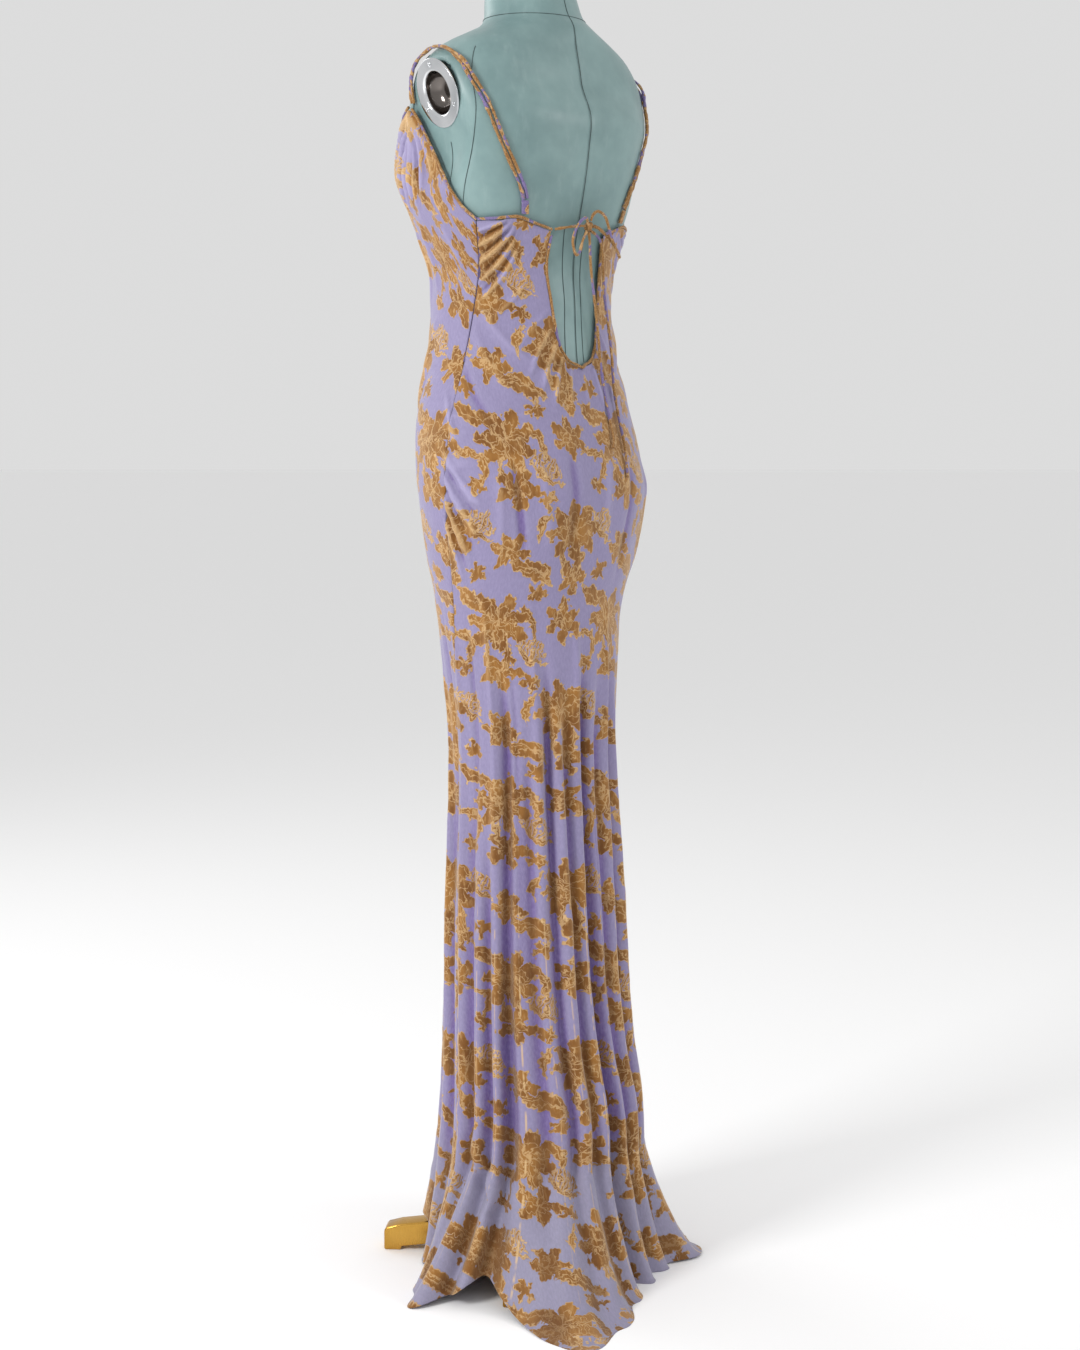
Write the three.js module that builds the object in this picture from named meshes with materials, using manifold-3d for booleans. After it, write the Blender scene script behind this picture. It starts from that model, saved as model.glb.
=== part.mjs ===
// Maxi dress on a limbless dress form: the cut panels, bindings, straps and bow of the dress, and the form
// with its pole and cross base. Millimetres, +Z up, the wearer's left on +X and the front towards -Y.
// An angle t turns from the centre back (0) towards the wearer's left (90) and on to the centre front (180).
import * as THREE from 'three';
import { mergeVertices } from 'three/addons/utils/BufferGeometryUtils.js';
import Module from 'manifold-3d';

// Driving dimensions
const WALL = 1.6; // cloth wall
const AIR = 3.2; // between the form and the cloth
const SEAM_GAP = 0.3;
const ZIP_GAP = 4; // width left for the zip in the left side seam
const ZIP_WIDTH = 3.2;
const FORM_BOTTOM = 858;
const HEM_ROLL = 160; // height where the skirt starts to run out over the floor
const KEYHOLE_FOOT = 1178;
const SKIRT_BLEND = { low: 870, high: 935 }; // below the seat the skirt leaves the form
const FOLD_GROWTH = 160; // height over which a fold grows to its knee depth
const KNEE = 700;
const FOLD_SHARPNESS = 1.4;
const FOLD_GATHER = { low: 840, high: 930 }; // heights between which the columns draw to the folds
const HEM_SLOPE = 1.1;
const BINDING_RADIUS = 2;
const BINDING_SIDES = 6;
const BINDING_REST = 0.45; // between a binding and the edge it covers
const BINDING_TRIMS = { seam: 0.3, strap: 3.2, rightSeam: 2, keyhole: 3.4 };
const CORD_RADIUS = 2.3;
const TIE_RADIUS = 2.1;
const CORD_SIDES = 8;
const CORD_REST = 0.6; // between a strap's cord and the form
const PAIR_SPACING = 5.2; // between the two cords of a strap, middle to middle
const SURFACE_STEP = 1e-3; // share of a panel over which its slope is measured

// Columns and rows of the panels, four columns to a fold
const BACK_COLUMNS = 48;
const FRONT_COLUMNS = 36;
const HEM_ROWS = [-1, -0.76, -0.5, -0.24];
const SKIRT_ROWS = [160, 285, 425, 565, 690, 775, 835, 880, 935, 1015, 1100, 1178];
const BODICE_ROWS = [0.04, 0.13, 0.27, 0.43, 0.59, 0.75, 0.89, 1];

// A table keeps one row for each section or fold, its columns named in the first argument
function table(columns, rows) {
  const names = columns.split(' ');
  return rows.map((row) => Object.fromEntries(names.map((name, index) => [name, row[index]])));
}

// Sections of the form: half width, half depth, where the middle lies and how square the section is
const BODY_RINGS = table('z halfWidth halfDepth middle square', [
  [858, 124, 92, 4, 2.05],
  [913, 138, 106, 5, 2.05],
  [952, 147, 111, 6, 2.05],
  [991, 155, 114, 7.6, 2.05],
  [1029, 161, 115.5, 7.6, 2.05],
  [1068, 160, 114, 2, 2.05],
  [1107, 154, 110.5, -3.7, 2.05],
  [1145, 145, 106, -8, 2.05],
  [1184, 133, 99, -10.5, 2.05],
  [1222, 126, 96, -11, 2.05],
  [1260, 122, 94.5, -11, 2.05],
  [1298, 121, 90, -9, 2.2],
  [1336, 130, 93, -8, 2.3],
  [1374, 144, 98, -4, 2.4],
  [1411, 153, 104, -2, 2.4],
  [1449, 160, 107, 1, 2.4],
  [1486, 168, 107, 4, 2.4],
  [1523, 170, 93, 3, 2.5],
  [1543, 163, 87, 5, 2.5],
  [1561, 151, 79, 9, 2.4],
  [1575, 135, 72, 13, 2.3],
  [1589, 106, 66, 17, 2.2],
  [1601, 80, 63, 17, 2.1],
  [1614, 66, 60, 11, 2.05],
  [1635, 61, 57.5, 6, 2],
  [1655, 57, 55.5, 3, 2],
  [1712, 55, 54, 0, 2],
]);

// Rounded forms laid over those sections, each mirrored to the other side
const BODY_SWELLS = table('x z spread rise height facing', [
  [76, 1430, 62, 70, 48, -1],
  [70, 1010, 62, 70, 6, 1],
]);

const SWELL_FACING = 1.6; // how soon a swell is whole, turning from the side to the front or back

// Outer hull of the skirt, measured over the ridges of its folds
const SKIRT_RINGS = table('z halfWidth halfDepth middle', [
  [160, 144, 136, 22],
  [229, 140, 130, 24],
  [311, 133, 121, 17.5],
  [393, 129, 114.6, 14],
  [474, 127, 110.5, 13.3],
  [555, 123, 106, 12],
  [636, 119, 101, 10.5],
  [715, 118, 99, 9],
  [795, 124, 103, 4.8],
  [834, 128.5, 104, 3],
  [873, 133.5, 106, 2.5],
  [913, 142.5, 109.5, 4.8],
  [960, 153, 116, 6],
]);

const SIDE_SEAM = table('z t', [
  [0, 95],
  [160, 95],
  [400, 97],
  [725, 97],
  [875, 90],
  [1029, 84],
  [1111, 78],
  [1203, 72],
  [1267, 68],
  [1355, 65],
  [1500, 65],
]);

// Folds of the skirt: angle at the knee and at the hem, height where each starts, depth at the knee and hem
const BACK_FOLDS = table('knee hem top kneeDepth hemDepth', [
  [-78, -84, 760, 8, 16],
  [-60, -68, 835, 10, 18],
  [-42, -52, 780, 8, 16],
  [-25, -30, 845, 12, 22],
  [-11, -18, 830, 9, 14],
  [3, -4, 848, 15, 26],
  [17, 10, 820, 9, 14],
  [30, 23, 848, 12, 14],
  [44, 39, 760, 8, 10],
  [59, 63, 845, 11, 26],
  [72, 75, 640, 5, 20],
  [86, 88, 700, 6, 16],
]);
const FRONT_FOLDS = table('knee hem top kneeDepth hemDepth', [
  [112, 108, 720, 6, 14],
  [128, 124, 820, 9, 16],
  [148, 154, 760, 7, 18],
  [165, 169, 840, 11, 15],
  [182, 184, 800, 8, 13],
  [199, 199, 845, 12, 16],
  [214, 214, 780, 8, 13],
  [232, 244, 830, 10, 18],
  [248, 256, 720, 6, 12],
]);

// Hem on the floor: how far it reaches from the pole, how high it is lifted and how soon it settles
const HEM = table('t reach lift settle', [
  [-180, 165, 0, 1.2],
  [-155, 156, 4, 1.2],
  [-130, 150, 52, 1.1],
  [-108, 172, 0, 1.2],
  [-85, 186, 0, 1.2],
  [-66, 205, 0, 1.3],
  [-50, 237, 3, 1.75],
  [-42, 233, 3, 1.5],
  [-33, 224, 3, 1.4],
  [-24, 196, 0, 1.2],
  [-12, 198, 0, 1.4],
  [2, 216, 0, 1.5],
  [16, 270, 0, 1.7],
  [25, 312, 0, 1.9],
  [33, 334, 0, 1.9],
  [40, 310, 1, 1.7],
  [47, 250, 5, 1.4],
  [55, 212, 22, 1.2],
  [63, 206, 34, 1.1],
  [73, 222, 14, 1.2],
  [84, 246, 0, 1.15],
  [95, 192, 0, 1.15],
  [107, 158, 0, 1.2],
  [120, 148, 10, 1.2],
  [130, 145, 46, 1.1],
  [140, 143, 54, 1.1],
  [150, 147, 46, 1.1],
  [162, 156, 6, 1.2],
  [180, 165, 0, 1.2],
]);

// Keyhole opening of the back and the top edges, from the opening or the left side seam across the panel
const KEYHOLE = table('z halfWidth', [
  [1178, 0],
  [1185, 15],
  [1194, 22.5],
  [1210, 30],
  [1232, 36],
  [1270, 44],
  [1302, 48],
  [1330, 47],
  [1374, 42],
]);
const BACK_TOP = table('w z', [
  [0, 1345],
  [0.25, 1352],
  [0.45, 1358],
  [0.7, 1356],
  [1, 1355],
]);
const FRONT_TOP = table('w z', [
  [0, 1355],
  [0.04, 1370],
  [0.07, 1389],
  [0.1, 1409],
  [0.135, 1435],
  [0.165, 1459],
  [0.191, 1480],
  [0.2222, 1496],
  [0.25, 1491],
  [0.3, 1476],
  [0.36, 1456],
  [0.42, 1434],
  [0.46, 1421],
  [0.5, 1416],
]);
const STRAP_COLUMN = 8; // column of the front panel where its top edge peaks under the strap

// Soft relief: diagonal pleats under each back strap, and gathers under each cup
const WING_PLEATS = { count: 5, height: 2.6, slant: 0.9, foot: 0.45, spread: 0.5 };
const CUP_GATHERS = { height: 3, low: 1330, full: 1390, inner: 0.12, outer: 0.46, fade: 0.06 };
// The cloth spans the hollow below the bust
const UNDERBUST_SLACK = { z: 1345, spread: 48, depth: 6, fade: 0.2 };

// Arm plates, set in a slanted facet of the shoulder
const ARM_PLATE = { x: 158, y: 3, z: 1509, normal: [0.937, -0.165, -0.309], clearance: 0.3 };
const PLATE_PROFILE = table('radius height', [
  [0, -21.2],
  [15, -21.2],
  [24, -15],
  [28.7, -6],
  [30, -1],
  [42.5, -1],
  [42.5, 0.6],
  [41.7, 1.2],
  [29, 1.2],
  [26.5, -0.4],
  [25.5, -6],
  [21, -13],
  [13, -18.6],
  [0, -19],
]);
const SEAT_HEIGHT = 20; // how far the plate's seat is cut outwards
const ARM_FACET = {
  forward: 0.1763, downward: 0.33, flatRadius: 50, fade: 95, fadeDepth: 64, rounding: 14, slack: 1.6,
};

// Stand
const POLE_RADIUS = 16;
const HUB = {
  radius: 37, sides: 8, bottom: 20, shoulder: 66, top: 84, collarRadius: 23, collarTaper: 3, sink: 2,
};
const LEG_ANGLES = { front_left: 140, back_left: 50, back_right: -40, front_right: -130 };
const LEG = { tip: 195, halfWidth: 15, chamfer: 4 };
const LEG_SECTIONS = table('fromTip bottom top', [
  [160.5, 22, 54],
  [23.5, 5, 36],
  [23, 0, 36],
  [4, 0, 31],
  [0, 0, 27],
]);

// Rows of the form's own solid
const TORSO_COLUMNS = 36;
const TORSO_ROWS = [
  858, 890, 935, 1015, 1100, 1178, 1225, 1265, 1300, 1326, 1350, 1374, 1400, 1430, 1460,
  1490, 1515, 1537, 1555, 1570, 1581, 1591, 1602, 1616, 1636, 1660, 1712,
];
const CAP_RINGS = table('z share', [
  [1712.3, 1],
  [1718, 1],
  [1724, 0.93],
  [1729, 0.72],
  [1731.5, 0.35],
]);

// Lining tube inside the skirt, inset from the hull
const LINING = { wall: 1.2, columns: 16 };
const LINING_RINGS = table('z inset', [
  [165, 36],
  [300, 32],
  [450, 27],
  [600, 22],
  [690, 17.5],
  [780, 12],
  [850, 2.4],
]);

// Left strap from the back tab over the shoulder: angle and height on the form and how far it stands off
const STRAP_ROUTE = table('z t lift', [
  [1382.2, 32.6, 0],
  [1394, 34.2, 0],
  [1409, 37.4, 0],
  [1437, 43.8, 0],
  [1463, 49, 0],
  [1486, 52.8, 0],
  [1510, 56.6, 0],
  [1533, 63.5, 0],
  [1549, 75, 0.4],
  [1560, 90, 1],
  [1562, 102, 2],
  [1558, 110, 3.6],
  [1549, 114.5, 4.6],
  [1534, 117, 2.2],
  [1518, 117.2, 0.8],
  [1504, 116.3, 0.6],
]);
const STRAP_STEPS = 20;
const STRAP_TWIST = { start: 0.36, end: 0.74 }; // share of the route where the two cords change places
const TAB = { low: 1363.4, high: 1379.6, t: 32.5, halfWidth: 4.9, thick: 3.6, ease: 4.6 };

// Bow: the two runs, the knot, two loops and two free ends, points chosen by hand from the wearer's back
const KNOT = { x: -5, y: 102, z: 1353, radius: 5.5, steps: 10 };
const BOW_CORDS = {
  tie_run_left: {
    steps: 8,
    points: [[43.8, 91.6, 1347.6], [34, 97, 1349.5], [20, 101, 1352], [8, 102, 1353.2], [1.2, 102, 1353.4]],
  },
  tie_run_right: {
    steps: 7,
    points: [[-43.8, 91.6, 1347.6], [-36, 97, 1350], [-24, 100.5, 1353], [-11.2, 102, 1353.4]],
  },
  tie_loop_left: {
    steps: 14,
    points: [[-2, 104, 1358], [5, 107.5, 1363], [17, 110.5, 1358], [26, 110.5, 1347], [30.5, 109.5, 1332],
      [23, 107.5, 1317], [14, 105.5, 1321], [9, 105.5, 1334], [1, 105, 1347]],
  },
  tie_loop_right: {
    steps: 16,
    points: [[-6, 105, 1360], [-8, 108, 1368], [-15, 110, 1372], [-25, 112, 1366], [-30, 113.5, 1353],
      [-36, 113, 1340], [-47, 110.5, 1326], [-57, 107, 1318], [-56, 105, 1324], [-42, 107.5, 1336],
      [-28, 108, 1345], [-17, 108.5, 1351], [-11, 106, 1354.5]],
  },
  tie_tail_left: {
    steps: 22,
    points: [[-3.5, 104, 1346.2], [-6, 103.5, 1335], [-12, 100, 1302], [-21, 98, 1262], [-28.4, 97, 1223],
      [-31, 98, 1191], [-33.5, 103, 1152], [-36, 110, 1117], [-36, 118, 1091], [-30, 122.5, 1078]],
  },
  tie_tail_right: {
    steps: 24,
    points: [[-9.1, 102, 1348.3], [-18, 102, 1344.5], [-27, 101, 1338], [-32.5, 100, 1325], [-35.5, 99, 1300],
      [-38, 98.5, 1273], [-46, 98.5, 1230], [-51.5, 99, 1197], [-53.5, 101, 1157], [-56, 107.5, 1117],
      [-56, 119, 1078], [-50, 129, 1041]],
  },
};

const materials = {
  velvet: new THREE.MeshStandardMaterial({ color: 0xa58bc0, roughness: 0.75 }),
  lining: new THREE.MeshStandardMaterial({ color: 0x9c86c8, roughness: 0.55 }),
  leather: new THREE.MeshStandardMaterial({ color: 0x7c9492, roughness: 0.5 }),
  plate: new THREE.MeshStandardMaterial({ color: 0xc9cbcc, roughness: 0.2, metalness: 1 }),
  brass: new THREE.MeshStandardMaterial({ color: 0xb08a32, roughness: 0.3, metalness: 1 }),
  zip: new THREE.MeshStandardMaterial({ color: 0x5c5070, roughness: 0.6 }),
};

const { lerp, smoothstep, clamp } = THREE.MathUtils;

// Smooth curve through a table's rows, read at one value of its key column
function readTable(rows, key, value) {
  const last = rows.length - 1;
  let index = 0;
  while (index < last - 1 && value > rows[index + 1][key]) index += 1;
  const before = rows[Math.max(index - 1, 0)];
  const start = rows[index];
  const end = rows[index + 1];
  const after = rows[Math.min(index + 2, last)];
  const span = end[key] - start[key];
  const s = clamp((value - start[key]) / span, 0, 1);
  const read = {};
  for (const column of Object.keys(start)) {
    const startSlope = ((end[column] - before[column]) / (end[key] - before[key])) * span;
    const endSlope = ((after[column] - start[column]) / (after[key] - start[key])) * span;
    const rise = end[column] - start[column];
    const curve = (startSlope * (1 - s) ** 2 - endSlope * s * (1 - s)) * s;
    read[column] = start[column] + rise * s * s * (3 - 2 * s) + curve;
  }
  return read;
}

function polar(t, radius, z = 0) {
  const angle = THREE.MathUtils.degToRad(t);
  return new THREE.Vector3(radius * Math.sin(angle), radius * Math.cos(angle), z);
}

// Point of a section grown by some ease, rounder or squarer with its exponent
function sectionPoint(ring, t, ease, square = 2) {
  const direction = polar(t, 1);
  const power = 2 / square;
  const across = Math.sign(direction.x) * Math.abs(direction.x) ** power;
  const along = Math.sign(direction.y) * Math.abs(direction.y) ** power;
  const y = ring.middle + (ring.halfDepth + ease) * along;
  return new THREE.Vector3((ring.halfWidth + ease) * across, y, ring.z);
}

// The lesser of two values, rounded where they meet
function softMinimum(a, b, rounding) {
  const share = Math.max(rounding - Math.abs(a - b), 0) / rounding;
  return Math.min(a, b) - (share * share * rounding) / 4;
}

// The shoulder is cut to a flat facet round each arm plate
function armLimit(y, z) {
  const distance = Math.hypot(y - ARM_PLATE.y, z - ARM_PLATE.z);
  const fade = Math.max(0, (distance - ARM_FACET.flatRadius) / ARM_FACET.fade) ** 2 * ARM_FACET.fadeDepth;
  const slant = ARM_FACET.forward * (y - ARM_PLATE.y) + ARM_FACET.downward * (z - ARM_PLATE.z);
  return ARM_PLATE.x + slant + fade;
}

// Surface of the form, or of cloth that lies on it with some ease
function formPoint(t, z, ease = 0) {
  const ring = readTable(BODY_RINGS, 'z', z);
  const point = sectionPoint(ring, t, ease, ring.square);
  point.z = z;
  const facing = Math.cos(THREE.MathUtils.degToRad(t));
  for (const swell of BODY_SWELLS) {
    const side = clamp(facing * swell.facing * SWELL_FACING, 0, 1);
    const across = (Math.abs(point.x) - swell.x) / swell.spread;
    const up = (z - swell.z) / swell.rise;
    point.y += swell.facing * side * swell.height * Math.exp(-across * across - up * up);
  }
  const limit = armLimit(point.y, z) + ease * ARM_FACET.slack;
  point.x = Math.sign(point.x) * softMinimum(Math.abs(point.x), limit, ARM_FACET.rounding);
  return point;
}

// Outer hull of the cloth before its folds
function hullPoint(t, z) {
  const skirt = sectionPoint(readTable(SKIRT_RINGS, 'z', z), t, 0);
  skirt.z = z;
  if (z <= SKIRT_BLEND.low) return skirt;
  const bodice = formPoint(t, z, AIR + WALL);
  return skirt.lerp(bodice, smoothstep(z, SKIRT_BLEND.low, SKIRT_BLEND.high));
}

// Degrees that a millimetre spans round the hull
function degreesPerMillimetre(t, z) {
  return 1 / hullPoint(t - 0.5, z).distanceTo(hullPoint(t + 0.5, z));
}

// Angle of a panel's edge at the side seam; the left seam opens for the zip above the keyhole's foot
function seamAngle(z, side, panelSign) {
  const t = readTable(SIDE_SEAM, 'z', z).t;
  const gap = side > 0 && z > KEYHOLE_FOOT + 2 ? ZIP_GAP : SEAM_GAP;
  return side * (t + panelSign * (gap / 2) * degreesPerMillimetre(side * t, z));
}

// Angle of a panel's column: even on the body, drawn to the folds below the knee blend
function columnAngle(panel, u, z) {
  const start = panel.seam(z, 0);
  const end = panel.seam(z, 1);
  const even = lerp(start, end, u);
  const gathered = 1 - smoothstep(z, FOLD_GATHER.low, FOLD_GATHER.high);
  if (gathered === 0) return even;
  const low = 1 - smoothstep(z, 0, KNEE);
  const valleys = panel.folds.map((fold) => lerp(fold.knee, fold.hem, low));
  const stops = [start, ...valleys, end];
  const place = clamp(u * panel.folds.length + 0.5, 0.5, panel.folds.length + 0.5);
  const index = Math.min(Math.floor(place), panel.folds.length);
  const first = index === 0 ? 0.5 : index;
  const last = index === panel.folds.length ? index + 0.5 : index + 1;
  const folded = lerp(stops[index], stops[index + 1], (place - first) / (last - first));
  return lerp(even, folded, gathered);
}

// How far a fold draws the cloth in
function foldDepth(panel, u, z) {
  const count = panel.folds.length;
  const place = clamp(u * count, 0, count - 1e-9);
  const fold = panel.folds[Math.floor(place)];
  const grown = 1 - smoothstep(z, fold.top - FOLD_GROWTH, fold.top);
  const low = 1 - smoothstep(z, 0, KNEE);
  const wave = Math.sin(Math.PI * (place % 1)) ** 2;
  return grown * lerp(fold.kneeDepth, fold.hemDepth, low) * wave ** FOLD_SHARPNESS;
}

function skirtPoint(panel, u, z) {
  const point = hullPoint(columnAngle(panel, u, z), z);
  const middle = readTable(SKIRT_RINGS, 'z', z).middle;
  const depth = foldDepth(panel, u, z);
  const radius = Math.hypot(point.x, point.y - middle);
  const share = (radius - depth) / radius;
  return new THREE.Vector3(point.x * share, middle + (point.y - middle) * share, z);
}

// Hem rows run from the hem roll out over the floor, q from 0 to 1
function hemPoint(panel, u, q) {
  const above = skirtPoint(panel, u, HEM_ROLL);
  const t = columnAngle(panel, u, 0);
  const hem = readTable(HEM, 't', t > 180 ? t - 360 : t);
  const floor = polar(t, hem.reach - foldDepth(panel, u, 0));
  const point = above.clone().lerp(floor, q ** HEM_SLOPE);
  point.z = hem.lift + (HEM_ROLL - hem.lift) * (1 - q) ** hem.settle;
  return point;
}

function wingPoint(panel, u, v) {
  const side = u < 0.5 || (u === 0.5 && panel.wing < 0) ? -1 : 1;
  const w = Math.abs(2 * u - 1);
  const z = lerp(KEYHOLE_FOOT, readTable(BACK_TOP, 'w', w).z, v);
  const ring = readTable(BODY_RINGS, 'z', z);
  const halfWidth = readTable(KEYHOLE, 'z', z).halfWidth;
  const edge = THREE.MathUtils.radToDeg(Math.asin((halfWidth / ring.halfWidth) ** (ring.square / 2)));
  const seam = Math.abs(seamAngle(z, side, -1));
  const fade = smoothstep(v, WING_PLEATS.foot, 1) * Math.sin(Math.PI * w) ** WING_PLEATS.spread;
  const wave = 0.5 + 0.5 * Math.cos(2 * Math.PI * (WING_PLEATS.count * w + WING_PLEATS.slant * v));
  const t = side * lerp(edge, seam, w);
  return formPoint(t, z, AIR + WALL + WING_PLEATS.height * fade * wave);
}

function bodicePoint(panel, u, v) {
  const w = u > 0.5 ? 1 - u : u;
  const z = lerp(KEYHOLE_FOOT, readTable(FRONT_TOP, 'w', w).z, v);
  const t = lerp(panel.seam(z, 0), panel.seam(z, 1), u);
  const { inner, outer, fade } = CUP_GATHERS;
  const cup = smoothstep(w, inner, inner + fade) * (1 - smoothstep(w, outer - fade, outer));
  const rise = smoothstep(z, CUP_GATHERS.low, CUP_GATHERS.full);
  const wave = 0.5 + 0.5 * Math.cos(Math.PI * FRONT_COLUMNS * u);
  const below = (z - UNDERBUST_SLACK.z) / UNDERBUST_SLACK.spread;
  const slack = UNDERBUST_SLACK.depth * Math.exp(-below * below) * Math.sin(Math.PI * u) ** 2;
  const hang = slack * smoothstep(v, 0, UNDERBUST_SLACK.fade);
  return formPoint(t, z, AIR + WALL + hang + CUP_GATHERS.height * cup * rise * wave);
}

// A panel's surface: s below 0 is the hem, 0 to 1 the skirt up to the keyhole's foot, 1 to 2 the bodice
function panelPoint(panel, u, s) {
  if (s < 0) return hemPoint(panel, u, -s);
  if (s <= 1) return skirtPoint(panel, u, lerp(HEM_ROLL, KEYHOLE_FOOT, s));
  return panel.bodice(panel, u, s - 1);
}

const LEFT_WING = {
  folds: BACK_FOLDS,
  wing: 1,
  seam: (z, end) => (end ? seamAngle(z, 1, -1) : seamAngle(z, -1, -1)),
  bodice: wingPoint,
};
const RIGHT_WING = { ...LEFT_WING, wing: -1 };
const FRONT_PANEL = {
  folds: FRONT_FOLDS,
  wing: 0,
  seam: (z, end) => (end ? 360 + seamAngle(z, -1, 1) : seamAngle(z, 1, 1)),
  bodice: bodicePoint,
};

// Outward normal of a panel, from its slope along and across
function panelNormal(panel, u, s) {
  const slit = panel.wing !== 0 && s > 1;
  const lowest = slit && panel.wing > 0 ? 0.5 : 0;
  const highest = slit && panel.wing < 0 ? 0.5 : 1;
  const left = panelPoint(panel, Math.max(u - SURFACE_STEP, lowest), s);
  const right = panelPoint(panel, Math.min(u + SURFACE_STEP, highest), s);
  const below = panelPoint(panel, u, Math.max(s - SURFACE_STEP, -1));
  const above = panelPoint(panel, u, Math.min(s + SURFACE_STEP, 2));
  return above.sub(below).cross(right.sub(left)).normalize();
}

// A cloth wall: outer points, their normals and quads, closed by an inner layer and rims
class ClothWall {
  constructor(wall = WALL) {
    this.wall = wall;
    this.outer = [];
    this.inner = [];
    this.quads = [];
  }

  addPoint(point, normal) {
    const inside = point.clone().addScaledVector(normal, -this.wall);
    const lift = Math.max(0, -inside.z);
    this.outer.push(point.clone().setZ(point.z + lift));
    this.inner.push(inside.setZ(inside.z + lift));
    return this.outer.length - 1;
  }

  // Corners run up one column and down the next, so the face looks outwards
  addQuad(a, b, c, d) {
    this.quads.push([a, b, c, d]);
  }

  geometry() {
    const count = this.outer.length;
    const edges = new Map();
    const index = [];
    for (const [a, b, c, d] of this.quads) {
      index.push(a, b, c, a, c, d);
      index.push(a + count, c + count, b + count, a + count, d + count, c + count);
      for (const [from, to] of [[a, b], [b, c], [c, d], [d, a]]) edges.set(`${from},${to}`, [from, to]);
    }
    for (const [from, to] of edges.values()) {
      if (edges.has(`${to},${from}`)) continue;
      index.push(to, from, from + count, to, from + count, to + count);
    }
    return facetedGeometry([...this.outer, ...this.inner], index);
  }
}

function facetedGeometry(points, index) {
  const geometry = new THREE.BufferGeometry();
  const numbers = points.flatMap((point) => point.toArray());
  geometry.setAttribute('position', new THREE.Float32BufferAttribute(numbers, 3));
  geometry.setIndex(index);
  geometry.computeVertexNormals();
  return geometry;
}

// A closed body through rings of points, each ring clockwise seen from the last one's end
function loft(rings) {
  const sides = rings[0].length;
  const index = [];
  for (let level = 0; level < rings.length - 1; level += 1) {
    for (let side = 0; side < sides; side += 1) {
      const next = (side + 1) % sides;
      const a = level * sides + side;
      const b = a + sides;
      const c = b + next - side;
      const d = a + next - side;
      index.push(a, b, c, a, c, d);
    }
  }
  const points = rings.flat();
  const top = points.length - sides;
  for (const ring of [rings[0], rings[rings.length - 1]]) {
    const sum = ring.reduce((total, point) => total.add(point), new THREE.Vector3());
    points.push(sum.divideScalar(sides));
  }
  for (let side = 0; side < sides; side += 1) {
    const next = (side + 1) % sides;
    index.push(points.length - 2, side, next);
    index.push(points.length - 1, top + next, top + side);
  }
  return facetedGeometry(points, index);
}

// A path whose steps fall on its own points, so a binding follows the panel's edge facet by facet
class EdgePath extends THREE.Curve {
  constructor(points) {
    super();
    this.points = points;
  }

  getPoint(share, target = new THREE.Vector3()) {
    const place = clamp(share, 0, 1) * (this.points.length - 1);
    const index = Math.min(Math.floor(place), this.points.length - 2);
    return target.lerpVectors(this.points[index], this.points[index + 1], place - index);
  }

  getUtoTmapping(share) {
    return share;
  }
}

function tube(path, radius, sides, steps) {
  const shape = new THREE.Shape();
  for (let side = 0; side < sides; side += 1) {
    const angle = (2 * Math.PI * side) / sides;
    const method = side ? 'lineTo' : 'moveTo';
    shape[method](radius * Math.cos(angle), radius * Math.sin(angle));
  }
  return new THREE.ExtrudeGeometry(shape, { steps, extrudePath: path, bevelEnabled: false });
}

// Panels
function rowPositions(bodiceRows) {
  const skirt = SKIRT_ROWS.map((z) => (z - HEM_ROLL) / (KEYHOLE_FOOT - HEM_ROLL));
  return [...HEM_ROWS, ...skirt, ...bodiceRows.map((v) => 1 + v)];
}

function frontPanel() {
  const cloth = new ClothWall();
  const rows = rowPositions(BODICE_ROWS);
  const columns = FRONT_COLUMNS + 1;
  rows.forEach((s) => {
    for (let column = 0; column < columns; column += 1) {
      const u = column / FRONT_COLUMNS;
      cloth.addPoint(panelPoint(FRONT_PANEL, u, s), panelNormal(FRONT_PANEL, u, s));
    }
  });
  for (let row = 0; row < rows.length - 1; row += 1) {
    for (let column = 0; column < FRONT_COLUMNS; column += 1) {
      const a = row * columns + column;
      cloth.addQuad(a, a + columns, a + columns + 1, a + 1);
    }
  }
  return cloth.geometry();
}

// The back panel is one piece, slit above the keyhole's foot into a left and a right wing
function backPanel() {
  const cloth = new ClothWall();
  const rows = rowPositions(BODICE_ROWS);
  const middle = BACK_COLUMNS / 2;
  const grid = rows.map((s) => {
    const line = { right: [], left: [] };
    for (let column = 0; column <= BACK_COLUMNS; column += 1) {
      const u = column / BACK_COLUMNS;
      const panel = column > middle ? LEFT_WING : RIGHT_WING;
      const corner = cloth.addPoint(panelPoint(panel, u, s), panelNormal(panel, u, s));
      if (column <= middle) line.right.push(corner);
      if (column > middle) line.left.push(corner);
    }
    const slit = s > 1
      ? cloth.addPoint(panelPoint(LEFT_WING, 0.5, s), panelNormal(LEFT_WING, 0.5, s))
      : line.right[middle];
    line.left.unshift(slit);
    return line;
  });
  for (let row = 0; row < rows.length - 1; row += 1) {
    for (const wing of ['right', 'left']) {
      for (let column = 0; column < middle; column += 1) {
        const low = grid[row][wing];
        const high = grid[row + 1][wing];
        cloth.addQuad(low[column], high[column], high[column + 1], low[column + 1]);
      }
    }
  }
  return cloth.geometry();
}

// A line moved off a panel's edge, in the surface and away from the cloth
function offsetLine(line, distance) {
  return line.map(({ point, normal }, index) => {
    const before = line[Math.max(index - 1, 0)].point;
    const after = line[Math.min(index + 1, line.length - 1)].point;
    const outward = new THREE.Vector3().subVectors(after, before).cross(normal).normalize();
    return point.clone().addScaledVector(outward, distance);
  });
}

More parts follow.
